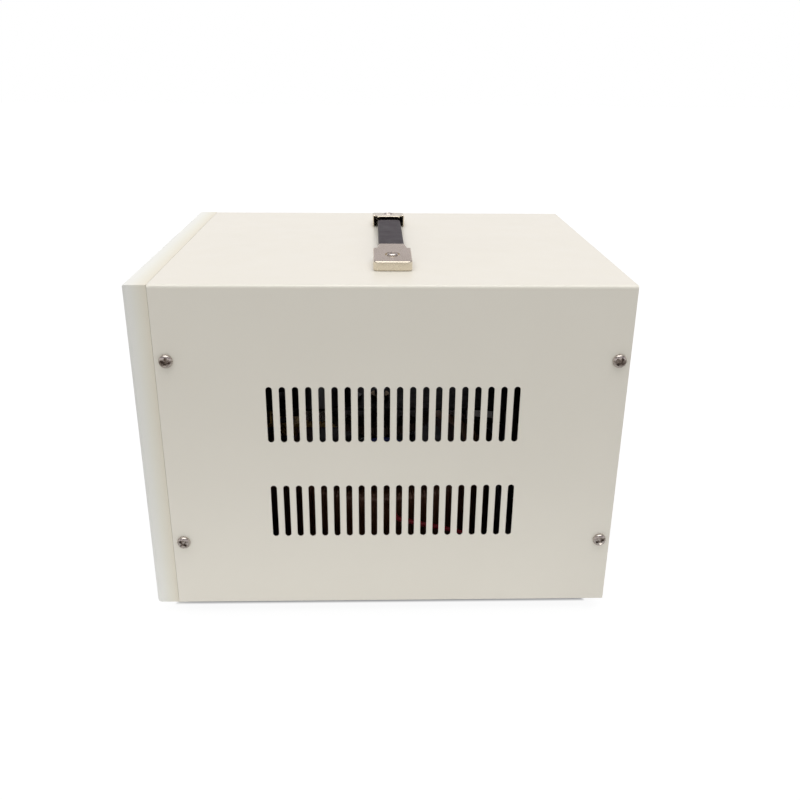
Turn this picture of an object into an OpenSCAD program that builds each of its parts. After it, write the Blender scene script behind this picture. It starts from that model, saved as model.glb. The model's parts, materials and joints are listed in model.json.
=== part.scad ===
// Servo voltage stabilizer: a sheet-metal case with a moulded front, slotted sides and a strap handle.
// The front faces -Y, the width runs along X, and the feet stand on Z = 0. Lengths are millimetres.

/* [Case] */
// Length of the case, from the face of the bezel to the rear edge of the cover
case_l = 285; // [280:1:330]
// Width of the case
case_w = 240; // [236:1:280]
// Height of the case above its feet
case_h = 205; // [200:1:240]
// Thickness of the cover's sheet
cover_t = 1.2; // [1:0.1:1.8]
// Outside radius of the cover's two long bends
cover_bend_r = 1.8; // [1.6:0.1:4]
// Thickness of the base pan's sheet
pan_t = 1.5; // [1.2:0.1:2.5]
// Height of the base pan's side walls
pan_wall_h = 22; // [15:1:30]
// Thickness of the front frame's and the rear panel's sheet
end_t = 1.2; // [1:0.1:1.8]
// Depth of the flanges that the cover is screwed to
flange_d = 14; // [13:0.5:18]

/* [Bezel] */
// Depth of the bezel's side returns, from its face to the seam with the cover
bezel_d = 13.4; // [13:0.2:18]
// Wall of the bezel moulding
bezel_t = 2.6; // [2.2:0.1:3.4]
// Radius of the bezel's upright front edges
bezel_side_r = 3.2; // [2.8:0.2:9.4]
// Radius of the bezel's top and bottom front edges
bezel_top_r = 1.8; // [1.5:0.1:3]

/* [Cooling slots] */
// Slots in a row
slot_n = 20; // [12:1:22]
// Distance from slot to slot
slot_pitch = 7.56; // [6.5:0.02:8.4]
// Width of a slot
slot_w = 3.7; // [2.8:0.1:4]
// Length of a slot
slot_l = 34.8; // [26:0.1:40]
// Distance between the middles of the two rows
slot_row_gap = 63.3; // [50:0.1:72]
// Height of the middle between the rows, above the bottom of the case
slot_mid_h = 96.5; // [88:0.5:110]

/* [Screws] */
// Thread diameter of the cover's and the base's screws
screw_d = 4; // [3:0.5:5]
// Head diameter of these screws
screw_head_d = 8; // [6.5:0.1:9]
// Head height of these screws
screw_head_h = 2.6; // [2:0.1:3.2]
// Distance of the cover's front screws behind the seam
screw_front_in = 7.1; // [6:0.1:8]
// Distance of the cover's rear screws from its rear edge
screw_rear_in = 6.5; // [6.5:0.1:8.5]
// Distance of the cover's screws from the top and from the bottom of the case
screw_end_in = 43.7; // [36:0.1:55]

/* [Feet] */
// Height of a rubber foot
foot_h = 8; // [7:0.5:12]
// Diameter of a foot where it meets the pan
foot_d = 22; // [18:0.5:26]
// Distance of a foot's middle from the sides of the case
foot_side_in = 24; // [20:0.5:30]
// Distance of a foot's middle from the two ends of the case
foot_end_in = 36; // [34:0.5:42]

/* [Strap handle] */
// Length of the strap handle over its two end caps
handle_l = 172; // [160:1:180]
// Width of an end cap
cap_w = 23; // [21:0.5:26]
// Length of a cap's side walls
cap_wall_l = 27.5; // [24:0.5:30]
// Length of the narrow tongue in front of a cap's side walls
cap_tongue_l = 8.5; // [6:0.5:10]
// Height of a cap at its outer end
cap_low_h = 5.6; // [5.4:0.1:6.5]
// Height of a cap at the end of its tongue
cap_high_h = 9.2; // [8.8:0.1:11]
// Thickness of a cap's sheet
cap_t = 1.2; // [1:0.1:1.4]
// Width of the grip
grip_w = 16; // [14.5:0.5:17]
// Thickness of the grip
grip_t = 4; // [3.4:0.1:4.4]
// Width of the spring-steel core strip
core_w = 12; // [10.5:0.5:12.5]
// Thickness of the spring-steel core strip
core_t = 0.8; // [0.6:0.1:1]

/* [Front fittings] */
// Width of a voltmeter's front frame
meter_w = 66; // [62:1:72]
// Height of a voltmeter's front frame
meter_h = 56; // [54:1:60]
// Depth of a voltmeter behind its front
meter_d = 34; // [28:1:38]
// Distance between the middles of the two voltmeters, as a share of the case's width
meter_gap_share = 0.433; // [0.4:0.01:0.46]
// Diameter of an indicator lamp's barrel
lamp_d = 10; // [8:0.5:12]
// Distance from lamp to lamp, as a share of the case's width
lamp_pitch_share = 0.183; // [0.15:0.01:0.2]
// Diameter of the delay button
button_d = 9; // [7:0.5:11]
// Travel of the delay button
button_travel = 3; // [2:0.5:3.5]
// Width of the circuit breaker
breaker_w = 35.4; // [30:0.2:38]
// Height of the circuit breaker's nose
breaker_nose_h = 45; // [40:1:48]

/* [Rear fittings] */
// Ways of the terminal block
terminal_n = 5; // [3:1:6]
// Distance from terminal to terminal
terminal_pitch = 13; // [12:0.5:14]
// Height of the terminal block along the rear panel
terminal_h = 30; // [28:1:34]
// Distance between the middles of the two outlets, as a share of the case's width
outlet_gap_share = 0.317; // [0.3:0.01:0.35]
// Width and height of an outlet's face
outlet_side = 46; // [44:1:50]

/* [Regulator] */
// Outside diameter of the toroidal winding, as a share of the case's length
toroid_share = 0.6175; // [0.59:0.0025:0.6225]
// Diameter of the hole through the winding
toroid_hole_d = 72; // [68:1:76]
// Height of the winding
toroid_h = 56; // [50:1:60]
// Raised turns shown on the winding
turn_n = 36; // [24:4:48]
// Teeth of the drive gear
gear_n = 72; // [66:1:76]
// Teeth of the motor's pinion
pinion_n = 18; // [17:1:20]
// Pitch diameter of the drive gear
gear_d = 72; // [68:1:75]
// Thickness of the drive gear
gear_t = 6; // [4:0.5:7]
// Diameter of the brush arm's shaft
shaft_d = 8; // [6:0.5:9]
// Diameter of the servo motor
motor_d = 48; // [40:1:50]
// Height of the servo motor
motor_h = 24; // [20:1:30]

/* [Control board] */
// Width of the control board
board_w = 104; // [96:1:112]
// Height of the control board
board_h = 80; // [76:1:84]

/* [Hidden] */

// Fineness of round shapes
$fn = 48;
// Overrun of every cut past the face that it opens
over = 1;
// Gap between sheets that lie inside one another
fit_gap = 0.3;
// Gap round pieces that are pushed together by hand
slip = 0.15;
// Radial clearance of a shaft or pin that turns
run_gap = 0.05;
// Radial clearance of a piece that is pressed on
press_gap = 0.02;
// Radial clearance of a screw in its hole
hole_gap = 0.2;
// Gap at the seam between the bezel and the cover
seam_gap = 0.4;
// Distance that the rear panel lies inside the cover's rear edge
rear_recess = 1;

// Circuit breaker: its nose, and the lever's drum and blade
breaker_proud = 2;
breaker_body_d = 46;
drum_r = 7;
lever_r = 16;
lever_axis_in = 2;
lever_w_share = 0.8;
lever_tip_t = 3.6;
lever_root_t = 6;
lever_rest = 36;

// Terminal block: its depth and its clear cover
terminal_d = 17;
terminal_base_d = 8;
flap_t = 1.6;
flap_air = 1;

// Origin: the fittings that stand out in front and behind are balanced about Y = 0
front_proud = breaker_proud - lever_axis_in + lever_r * cos(lever_rest) + lever_tip_t * sin(lever_rest) / 2;
rear_proud = terminal_d + flap_air + flap_t - rear_recess;
front_y = -case_l / 2 + (front_proud - rear_proud) / 2;
rear_y = front_y + case_l;
mid_y = (front_y + rear_y) / 2;
seam_y = front_y + bezel_d;
cover_y0 = seam_y + seam_gap;
cover_mid_y = (seam_y + rear_y) / 2;
panel_y = rear_y - rear_recess;
half_w = case_w / 2;
base_z = foot_h;
top_z = foot_h + case_h;
floor_z = base_z + pan_t;

// Half width and top of everything that lies inside the cover
inner_x = half_w - cover_t - fit_gap;
inner_top_z = top_z - cover_t - fit_gap;
cover_in_r = max(cover_bend_r - cover_t, cover_t / 4);
bezel_in_r = max(bezel_side_r - bezel_t, bezel_t / 4);

// Screw heads: shares of the head's diameter and height
cross_l_share = 0.56;
cross_w_share = 0.15;
cross_d_share = 0.6;
head_round_share = 0.6;
cover_screw_l = 8;
nut_wall = 1.6;
nut_t = 3;
screw_ys = [seam_y + screw_front_in, rear_y - screw_rear_in];
screw_zs = [base_z + screw_end_in, top_z - screw_end_in];

// Bezel
recess_d = 1;
recess_in = 13;
recess_r = 6;
face_y = front_y + recess_d;
back_y = front_y + bezel_t;
boss_d = 8;
boss_in = 7;
bezel_screw_d = 2.5;
bezel_screw_l = 9;
bezel_head_d = 5;
bezel_head_h = 1.8;
boss_x = half_w - bezel_t - boss_in;
boss_zs = [base_z + bezel_t + boss_in, top_z - bezel_t - boss_in];

// Front frame and rear panel
pan_bend_r = 2;
flange_end_in = 12;
floor_lip = 6;

// Feet and nuts
foot_taper = 3;
foot_bore_d = 10;
foot_web = 3.4;
base_screw_l = 12;
m4_nut_d = 7.6;
m4_nut_t = 3.2;
m5_d = 5;
m5_nut_d = 9;
m5_nut_t = 4;
foot_xs = [-half_w + foot_side_in, half_w - foot_side_in];
foot_ys = [front_y + foot_end_in, rear_y - foot_end_in];

// Strap handle
handle_screw_in = 14;
handle_screw_x = handle_l / 2 - handle_screw_in;
handle_screw_l = 12;
handle_head_d = 6.6;
handle_head_h = 2;
dimple_d = 9;
cap_x0 = handle_l / 2 - cap_wall_l;
cap_tip_x = cap_x0 - cap_tongue_l;
cap_slope = (cap_high_h - cap_low_h) / (cap_wall_l + cap_tongue_l);
dimple_h = cap_low_h + (handle_screw_in - dimple_d / 2) * cap_slope;
cap_root_w = 19;
cap_tip_w = 16;
cap_corner_r = 3;
grip_end_gap = 0.5;
grip_air = 1.6;
grip_edge_r = 1.6;
grip_x = cap_tip_x - grip_end_gap;
core_end_gap = 1;
core_play = 6;
core_x = handle_l / 2 - cap_t - core_end_gap;
core_z = top_z + grip_air + (grip_t - core_t) / 2;

// Voltmeters
meter_gap = case_w * meter_gap_share;
meter_down_share = 0.26;
meter_z = top_z - case_h * meter_down_share;
meter_frame_t = 4;
meter_wall = 2;
meter_body_in = 4;
meter_r = 3;
glass_in = 5;
glass_t = 1.6;
glass_sink = 0.6;
chin_h = 15;
ledge = 1;
dial_in = 14;
dial_t = 0.8;
meter_y = face_y - meter_frame_t;
dial_y = meter_y + dial_in;
needle_up = 9;
needle_l = 32;
needle_t = 0.8;
needle_base_w = 2.4;
needle_tip_w = 0.8;
needle_hub_d = 6;
needle_hub_t = 3;
needle_pin_d = 1.6;
needle_air = 2;
needle_rest = 45;
tick_n = 10;
tick_l = 3;
tick_w = 0.7;
tick_t = 0.2;
pivot_z = meter_z - meter_h / 2 + needle_up;
meter_body_w = meter_w - 2 * meter_body_in;
meter_body_h = meter_h - 2 * meter_body_in;
room_w = meter_body_w - 2 * meter_wall;
room_h = meter_body_h - 2 * meter_wall;
glass_w = meter_w - 2 * glass_in;
glass_h = meter_h - glass_in - chin_h;

// Lamps
lamp_pitch = case_w * lamp_pitch_share;
lamp_down_share = 0.51;
lamp_z = top_z - case_h * lamp_down_share;
lamp_rim = 1.5;
lamp_rim_t = 1.5;
lamp_dome_h = 3;
lamp_barrel_l = 11;
lamp_nut_wall = 2;

// Delay switch
delay_out_share = 0.24;
delay_up_share = 0.27;
delay_x = -case_w * delay_out_share;
delay_z = base_z + case_h * delay_up_share;
button_l = 12;
collar_wall = 1.8;
collar_t = 1.6;
button_proud = collar_t + button_travel;
delay_box = 16;
delay_box_l = 14;
delay_floor_t = 2;

// Places of the breaker and its lever's axis, and the height of its body up to the lamps' nuts
breaker_out_share = 0.235;
breaker_up_share = 0.26;
breaker_air = 1;
breaker_x = case_w * breaker_out_share;
breaker_z = base_z + case_h * breaker_up_share;
breaker_body_h = 2 * (lamp_z - lamp_d / 2 - lamp_nut_wall - breaker_air - breaker_z);
breaker_y = front_y - breaker_proud;
lever_y = breaker_y + lever_axis_in;

// Terminal block, outlets and earth stud
terminal_up_share = 0.195;
terminal_z = base_z + case_h * terminal_up_share;
terminal_wall = 1.8;
terminal_l = terminal_n * terminal_pitch + terminal_wall;
terminal_screw_d = 3.5;
terminal_head_d = 7;
terminal_head_h = 2.2;
washer_w = 9;
washer_t = 1;
terminal_stud_l = 6;
ear_up = 3.4;
ear_r = 2.8;
flap_pin_d = 2.4;
flap_barrel_d = 4.4;
flap_y = panel_y + terminal_d - ear_r;
flap_z = terminal_z + terminal_h / 2 + ear_up;
outlet_gap = case_w * outlet_gap_share;
outlet_up_share = 0.625;
outlet_z = base_z + case_h * outlet_up_share;
outlet_face_t = 3;
outlet_body_d = 22;
outlet_body_in = 3;
outlet_r = 4;
pin_w = 2.2;
pin_h = 8;
pin_deep = 18;
pair_out = 6.35;
pair_up = 10.5;
trio_out = 7.2;
trio_down = 6;
trio_gap = 9;
trio_lean = 30;
earth_out_share = 0.3;
earth_x = case_w * earth_out_share;
earth_free_l = 8;
earth_free_d = 4.6;
earth_weld_t = 2.4;

// Regulator, from the floor up
toroid_d = case_l * toroid_share;
pad_t = 2;
pad_in = 6;
winding_edge_r = 6;
turn_t = 1.8;
turn_h = 0.8;
wrap_t = 6;
toroid_z0 = floor_z + pad_t;
toroid_z1 = toroid_z0 + toroid_h;
disc_t = 5;
disc_lip = 9;
disc_spigot = 6;
disc_z1 = toroid_z1 + disc_t;
bolt_n = 3;
bolt_r = 21;
bolt_head_d = 8.5;
bolt_head_h = 3.4;
bolt_tail = 1;
bush_wall = 2.5;
bush_d = shaft_d + 2 * (run_gap + bush_wall);
bush_rim = 1.5;
bush_rim_t = 1.5;
arm_t = 3;
arm_w = 14;
arm_up = 6;
arm_hub_d = 18;
arm_hub_h = 12;
arm_z = disc_z1 + bush_rim_t + run_gap;
track_r = (toroid_d + toroid_hole_d) / 4 + wrap_t;
brush_w = 8;
brush_l = 10;
brush_h = 16;
holder_wall = 1.6;
holder_h = 10;
dog_out = 5.4;
dog_r = track_r + brush_l / 2 + holder_wall + dog_out;
dog_d = 4;
dog_h = 14;
arm_limit_angle = 165;

// Gear pair
gear_z = arm_z + arm_hub_h;
pressure_angle = 20;
gear_m = gear_d / gear_n;
root_share = 1.25;
tip_share = 0.94;
backlash = 0.16;
gear_hub_h = 4;
gear_web_t = 3;
gear_rim_t = 4;
gear_hole_n = 6;
gear_hole_d = 10;
gear_hole_r = 22;
pair_d = gear_m * (gear_n + pinion_n) / 2;
pinion_over = 1;

// Bridge, motor and limit switches
bridge_t = 2;
bridge_w = 44;
bridge_foot = 16;
bridge_air = 3;
bridge_leg_air = 7;
bridge_y = toroid_d / 2 + bridge_leg_air;
bridge_z = gear_z + gear_t + gear_hub_h + bridge_air;
bridge_screw_x = 14;
bridge_foot_y = bridge_y + bridge_t + bridge_foot / 2;
motor_shaft_d = 5;
motor_boss_d = 14;
motor_boss_l = 6;
motor_ear_l = 8;
motor_ear_w = 12;
motor_ear_t = 2;
shaft_tail = 4;
switch_l = 20;
switch_w = 6;
switch_h = 10;
switch_gap = 2.6;
blade_t = 0.5;
blade_h = 5;
blade_l = 18;
eye_d = 3;
eye_h = 7;
eye_pin_d = 1.4;
lug_t = 1.6;
plunger_w = 1.4;
eye_r = dog_r - blade_l + dog_d / 2;
blade_a = 180 - arm_limit_angle - asin((dog_d / 2 + blade_t / 2 + fit_gap) / dog_r);
wing_x = (eye_r + switch_l) * abs(sin(blade_a)) + eye_d / 2;
wing_y0 = eye_r * cos(blade_a) - eye_d;
wing_y1 = (eye_r + switch_l) * cos(blade_a) + eye_d;

// Control board
board_t = 1.6;
board_up_share = 0.47;
standoff_l = 24;
standoff_d = 6;
standoff_in = 5;
board_y = seam_y + end_t + standoff_l;
board_z0 = base_z + case_h * board_up_share;
relay_size = [16, 16, 28];
relay_gap = 22;
can_d = 12;
can_h = 20;
choke_size = [34, 20, 28];
part_in = 8;

// Wires: they run in the lane between the winding and the cover
wire_d = 3.2;
wire_sides = 8;
wire_steps = 6;
wire_lead = 8;
lane_x = (toroid_d / 2 + inner_x) / 2;
red_out_share = 0.3;
blue_out_share = 0.1;
red_from = [terminal_l * red_out_share, panel_y - fit_gap, terminal_z];
red_to = [breaker_x + breaker_w * red_out_share, back_y + breaker_body_d + fit_gap, breaker_z];
blue_from = [terminal_l * blue_out_share, panel_y - fit_gap, terminal_z];
blue_to = [board_w / 2 - wire_d, board_y + board_t + fit_gap, board_z0 + 2 * part_in];

// Middle points of the wires, as shares of the lane's place and of the case's length and height
red_shares = [
    [0.62, 0.43, 0.15], [0.89, 0.37, 0.13], [0.98, 0.26, 0.145], [0.98, 0.17, 0.192],
    [0.98, 0.07, 0.226], [0.98, 0.033, 0.245], [0.98, 0.0255, 0.30], [0.98, 0.024, 0.36],
    [0.975, -0.005, 0.405], [0.96, -0.08, 0.40], [0.93, -0.20, 0.40], [0.84, -0.288, 0.345]
];
blue_shares = [
    [0.35, 0.44, 0.25], [0.79, 0.38, 0.31], [0.965, 0.25, 0.38], [0.97, 0.11, 0.45],
    [0.97, 0.002, 0.506], [0.958, -0.11, 0.45], [0.86, -0.25, 0.46]
];

// Shapes that several pieces share

// A solid box between two corners
module block(a, b) {
    translate(a)
        cube(b - a);
}

// Extrudes a flat shape along X from x0; its X lies along Y and its Y along Z
module along_x(x0, l) {
    translate([x0, 0, 0])
        rotate([90, 0, 90])
            linear_extrude(l)
                children();
}

// Extrudes a flat shape along Y from y0; its Y lies along Z
module along_y(y0, l) {
    translate([0, y0 + l, 0])
        rotate([90, 0, 0])
            linear_extrude(l)
                children();
}

// A cylinder along X, Y or Z that starts at a
module rod_x(a, l, d) {
    translate(a)
        rotate([0, 90, 0])
            cylinder(h = l, d = d);
}

module rod_y(a, l, d) {
    translate(a)
        rotate([-90, 0, 0])
            cylinder(h = l, d = d);
}

module rod_z(a, l, d) {
    translate(a)
        cylinder(h = l, d = d);
}

// A flat rectangle with round corners
module rounded(size, r) {
    square([size.x - 2 * r, size.y], center = true);
    square([size.x, size.y - 2 * r], center = true);
    for (sx = [-1, 1], sy = [-1, 1])
        translate([sx * (size.x / 2 - r), sy * (size.y / 2 - r)])
            circle(r);
}

// A slot's outline, standing along Y
module obround(w, l) {
    square([w, l - w], center = true);
    for (s = [-1, 1])
        translate([0, s * (l - w) / 2])
            circle(d = w);
}

// A pan-head screw with a cross recess; its head sits on Z = 0 and its shank points down
module pan_screw(d, head_d, head_h, l) {
    r = head_h * head_round_share;
    cross_d = head_h * cross_d_share;
    difference() {
        rotate_extrude() {
            square([head_d / 2 - r, head_h]);
            square([head_d / 2, head_h - r]);
            intersection() {
                translate([head_d / 2 - r, head_h - r])
                    circle(r);
                square([head_d / 2, head_h]);
            }
            translate([0, -l])
                square([d / 2, l]);
        }
        for (a = [0, 90])
            rotate(a)
                translate([0, 0, head_h])
                    cube([head_d * cross_l_share, head_d * cross_w_share, 2 * cross_d], center = true);
    }
}

// A hexagon nut on Z = 0 for a screw of diameter d
module hex_nut(d, nut_d, t) {
    difference() {
        cylinder(h = t, d = nut_d, $fn = 6);
        translate([0, 0, -over])
            cylinder(h = t + 2 * over, d = d + 2 * run_gap);
    }
}

// Places its children at the eight cover screws, with +Z pointing out of the case
module at_cover_screws() {
    for (s = [-1, 1], y = screw_ys, z = screw_zs)
        translate([s * half_w, y, z])
            rotate([0, s * 90, 0])
                children();
}

// Places its children round the regulator's axis
module at_regulator(z) {
    translate([0, mid_y, z])
        children();
}

// Angle in degrees of the involute at pressure angle a
function involute(a) = tan(a) * 180 / PI - a;

// Half of a tooth's thickness, as an angle, at radius r of a gear with n teeth
function tooth_half(n, r) =
    let (pitch_r = gear_m * n / 2, base_r = pitch_r * cos(pressure_angle), at = acos(base_r / max(r, base_r)))
    90 / n - backlash / (2 * pitch_r) * 90 / PI + involute(pressure_angle) - involute(at);

// Radii at which a gear's flank is drawn, from root to tip
function flank_radii(n) =
    let (pitch_r = gear_m * n / 2, root = pitch_r - root_share * gear_m, tip = pitch_r + tip_share * gear_m,
        base_r = max(root, pitch_r * cos(pressure_angle)))
    [root, base_r + (pitch_r - base_r) / 4, pitch_r, (pitch_r + tip) / 2, tip];

// Outline of a gear with n teeth, one of them centred on +X
module gear_outline(n) {
    radii = flank_radii(n);
    polygon([
        for (i = [0 : n - 1])
            each concat(
                [for (r = radii) let (a = 360 * i / n - tooth_half(n, r)) r * [cos(a), sin(a)]],
                [for (k = [len(radii) - 1 : -1 : 0])
                    let (r = radii[k], a = 360 * i / n + tooth_half(n, r)) r * [cos(a), sin(a)]]
            )
    ]);
}

// A point of the smooth curve through four route points, from b to c as t goes from 0 to 1
function curve_at(a, b, c, d, t) =
    (2 * b + (c - a) * t + (2 * a - 5 * b + 4 * c - d) * t * t + (3 * b - a - 3 * c + d) * t * t * t) / 2;

// Points along the smooth curve through a route
function smooth(route) = concat(
    [for (i = [0 : len(route) - 2], k = [0 : wire_steps - 1])
        let (before = route[max(i - 1, 0)], after = route[min(i + 2, len(route) - 1)])
        curve_at(before, route[i], route[i + 1], after, k / wire_steps)],
    [route[len(route) - 1]]
);

function unit(v) = v / norm(v);

// A round wire of diameter d through a route's points
module wire(route, d) {
    path = smooth(route);
    last = len(path) - 1;
    rings = [
        for (i = [0 : last])
            let (t = unit(path[min(i + 1, last)] - path[max(i - 1, 0)]), side = unit(cross(t, [0, 0, 1])),
                up = cross(side, t))
            for (k = [0 : wire_sides - 1])
                let (a = 360 * k / wire_sides)
                path[i] + d / 2 * (side * cos(a) + up * sin(a))
    ];
    faces = [
        for (i = [0 : last - 1], k = [0 : wire_sides - 1])
            let (n = (k + 1) % wire_sides, p = i * wire_sides, q = p + wire_sides)
            [p + k, p + n, q + n, q + k]
    ];
    start = [for (k = [wire_sides - 1 : -1 : 0]) k];
    end = [for (k = [0 : wire_sides - 1]) last * wire_sides + k];
    polyhedron(rings, concat(faces, [start, end]));
}

// A wire's route: straight leads at both ends, and middle points worked out from their shares
function route(from, shares, to) = concat(
    [from, from - [0, wire_lead, 0]],
    [for (p = shares) [p.x * lane_x, mid_y + p.y * case_l, base_z + p.z * case_h]],
    [to + [0, wire_lead, 0], to]
);

// Case

// The cover: one sheet bent over the top and down both sides, with the cooling slots cut through
module cover() {
    color([0.80, 0.79, 0.74])
        difference() {
            along_y(cover_y0, rear_y - cover_y0)
                difference() {
                    cover_outline(half_w, top_z, cover_bend_r);
                    translate([0, -over])
                        cover_outline(half_w - cover_t, top_z - cover_t + over, cover_in_r);
                }
            along_x(-half_w - over, case_w + 2 * over)
                for (i = [0 : slot_n - 1], row = [-1, 1])
                    translate([cover_mid_y + (i - (slot_n - 1) / 2) * slot_pitch,
                        base_z + slot_mid_h + row * slot_row_gap / 2])
                        obround(slot_w, slot_l);
            for (y = screw_ys, z = screw_zs)
                rod_x([-half_w - over, y, z], case_w + 2 * over, screw_d + 2 * hole_gap);
            for (s = [-1, 1])
                rod_z([s * handle_screw_x, cover_mid_y, top_z - cover_t - over], cover_t + 2 * over,
                    screw_d + 2 * hole_gap);
        }
}

// Section of the cover: half width w, top at z, and two round top corners
module cover_outline(w, z, r) {
    translate([-w, base_z])
        square([2 * w, z - base_z - r]);
    translate([-w + r, base_z])
        square([2 * (w - r), z - base_z]);
    for (s = [-1, 1])
        translate([s * (w - r), z - r])
            circle(r);
}

// Plan of the bezel, with its rear edge on the seam
module bezel_plan(w, y0, y1, r) {
    translate([-w, y0 + r])
        square([2 * w, y1 - y0 - r]);
    translate([-w + r, y0])
        square([2 * (w - r), y1 - y0]);
    for (s = [-1, 1])
        translate([s * (w - r), y0 + r])
            circle(r);
}

// Side view of the bezel, with round top and bottom front edges
module bezel_side(y0, y1, z0, z1, r) {
    translate([y0 + r, z0])
        square([y1 - y0 - r, z1 - z0]);
    translate([y0, z0 + r])
        square([y1 - y0 - r, z1 - z0 - 2 * r]);
    for (z = [z0 + r, z1 - r])
        translate([y0 + r, z])
            circle(r);
}

// The moulded front: a shallow tray with the openings for its fittings and four screw bosses
module front_bezel() {
    color([0.86, 0.85, 0.82])
        difference() {
            union() {
                difference() {
                    intersection() {
                        translate([0, 0, base_z])
                            linear_extrude(case_h)
                                bezel_plan(half_w, front_y, seam_y, bezel_side_r);
                        along_x(-half_w, case_w)
                            bezel_side(front_y, seam_y, base_z, top_z, bezel_top_r);
                    }
                    translate([0, 0, base_z + bezel_t])
                        linear_extrude(case_h - 2 * bezel_t)
                            bezel_plan(half_w - bezel_t, back_y, seam_y + over, bezel_in_r);
                }
                for (s = [-1, 1], z = boss_zs)
                    rod_y([s * boss_x, back_y - over, z], seam_y - back_y + over, boss_d);
            }
            along_y(front_y - over, recess_d + over)
                translate([0, base_z + case_h / 2])
                    rounded([case_w - 2 * recess_in, case_h - 2 * recess_in], recess_r);
            for (s = [-1, 1], z = boss_zs)
                rod_y([s * boss_x, seam_y - bezel_screw_l, z], bezel_screw_l + over,
                    bezel_screw_d + 2 * run_gap);
            front_openings(face_y - over, back_y + over);
        }
}

// Cuts for the front fittings from y0 to y1
module front_openings(y0, y1) {
    along_y(y0, y1 - y0) {
        for (s = [-1, 1])
            translate([s * meter_gap / 2, meter_z])
                square([meter_body_w + 2 * slip, meter_body_h + 2 * slip], center = true);
        for (k = [-1, 0, 1])
            translate([k * lamp_pitch, lamp_z])
                circle(d = lamp_d + 2 * slip);
        translate([delay_x, delay_z])
            circle(d = button_d + 2 * collar_wall + 2 * slip);
        translate([breaker_x, breaker_z])
            square([breaker_w + 2 * slip, breaker_nose_h + 2 * slip], center = true);
    }
}

// The base pan with its two side walls and the holes for the feet, the regulator and its bridge
module base_pan() {
    y0 = seam_y + end_t + fit_gap;
    y1 = panel_y - end_t - fit_gap;
    wall_z = base_z + pan_wall_h;
    color([0.74, 0.75, 0.76])
        difference() {
            union() {
                block([-inner_x + pan_bend_r, seam_y, base_z], [inner_x - pan_bend_r, panel_y, floor_z]);
                along_y(y0, y1 - y0)
                    difference() {
                        pan_outline(inner_x, base_z, wall_z, pan_bend_r);
                        pan_outline(inner_x - pan_t, floor_z, wall_z + over, pan_bend_r - pan_t);
                    }
            }
            for (x = foot_xs, y = foot_ys)
                rod_z([x, y, base_z - over], pan_t + 2 * over, screw_d + 2 * hole_gap);
            for (sx = [-1, 1], sy = [-1, 1])
                rod_z([sx * bridge_screw_x, mid_y + sy * bridge_foot_y, base_z - over], pan_t + 2 * over,
                    screw_d + 2 * hole_gap);
            at_regulator(base_z - over)
                at_bolts()
                    cylinder(h = pan_t + 2 * over, d = m5_d + 2 * hole_gap);
        }
}

// Section of the pan: a strip with round lower corners
module pan_outline(w, z0, z1, r) {
    translate([-w + r, z0])
        square([2 * (w - r), z1 - z0]);
    translate([-w, z0 + r])
        square([2 * w, z1 - z0 - r]);
    for (s = [-1, 1])
        translate([s * (w - r), z0 + r])
            circle(r);
}

// The steel frame behind the bezel, with flanges bent back for the cover's screws
module front_frame() {
    color([0.72, 0.73, 0.74])
        difference() {
            union() {
                block([-inner_x, seam_y, floor_z], [inner_x, seam_y + end_t, inner_top_z]);
                end_flanges(seam_y, seam_y + flange_d, seam_y);
            }
            front_openings(seam_y - over, seam_y + end_t + over);
            along_y(seam_y - over, end_t + 2 * over) {
                translate([breaker_x, breaker_z])
                    square([breaker_w + 2 * fit_gap, breaker_body_h + 2 * fit_gap], center = true);
                translate([delay_x, delay_z])
                    square(delay_box + 2 * fit_gap, center = true);
                for (s = [-1, 1], z = boss_zs)
                    translate([s * boss_x, z])
                        circle(d = bezel_screw_d + 2 * hole_gap);
            }
            at_cover_screws()
                flange_bore();
        }
}

// Side and top flanges of an end plate between y0 and y1, and its lip on the floor from lip_y
module end_flanges(y0, y1, lip_y) {
    z0 = base_z + pan_wall_h + flange_end_in;
    for (s = [-1, 1])
        mirror([s < 0 ? 1 : 0, 0, 0])
            block([inner_x - end_t, y0, z0], [inner_x, y1, inner_top_z - flange_end_in]);
    block([-inner_x + flange_end_in, y0, inner_top_z - end_t], [inner_x - flange_end_in, y1, inner_top_z]);
    block([-inner_x + flange_end_in, lip_y, floor_z],
        [inner_x - flange_end_in, lip_y + floor_lip, floor_z + end_t]);
}

// Bore for a clinch nut's collar through a side flange
module flange_bore() {
    translate([0, 0, -flange_d])
        cylinder(h = flange_d + over, d = screw_d + 2 * hole_gap);
}

// The rear panel, with windows for the outlets and the terminals
module rear_panel() {
    color([0.80, 0.79, 0.74])
        difference() {
            union() {
                block([-inner_x, panel_y - end_t, floor_z], [inner_x, panel_y, inner_top_z]);
                end_flanges(panel_y - flange_d, panel_y, panel_y - floor_lip);
            }
            along_y(panel_y - end_t - over, end_t + 2 * over) {
                for (s = [-1, 1])
                    translate([s * outlet_gap / 2, outlet_z])
                        square(outlet_side - 2 * outlet_body_in + 2 * slip, center = true);
                translate([0, terminal_z])
                    square([terminal_l - terminal_pitch, terminal_h / 2], center = true);
                translate([earth_x, terminal_z])
                    circle(d = m5_d + 2 * run_gap);
            }
            at_cover_screws()
                flange_bore();
        }
}

// The eight screws that hold the cover
module cover_screws() {
    color([0.78, 0.77, 0.75])
        at_cover_screws()
            pan_screw(screw_d, screw_head_d, screw_head_h, cover_screw_l);
}

// Clinch nuts inside the side flanges
module clinch_nuts() {
    color([0.70, 0.70, 0.70])
        at_cover_screws()
            translate([0, 0, inner_x - end_t - nut_t - half_w])
                difference() {
                    cylinder(h = nut_t, d = screw_d + 2 * nut_wall);
                    translate([0, 0, -over])
                        cylinder(h = nut_t + 2 * over, d = screw_d + 2 * run_gap);
                }
}

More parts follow.
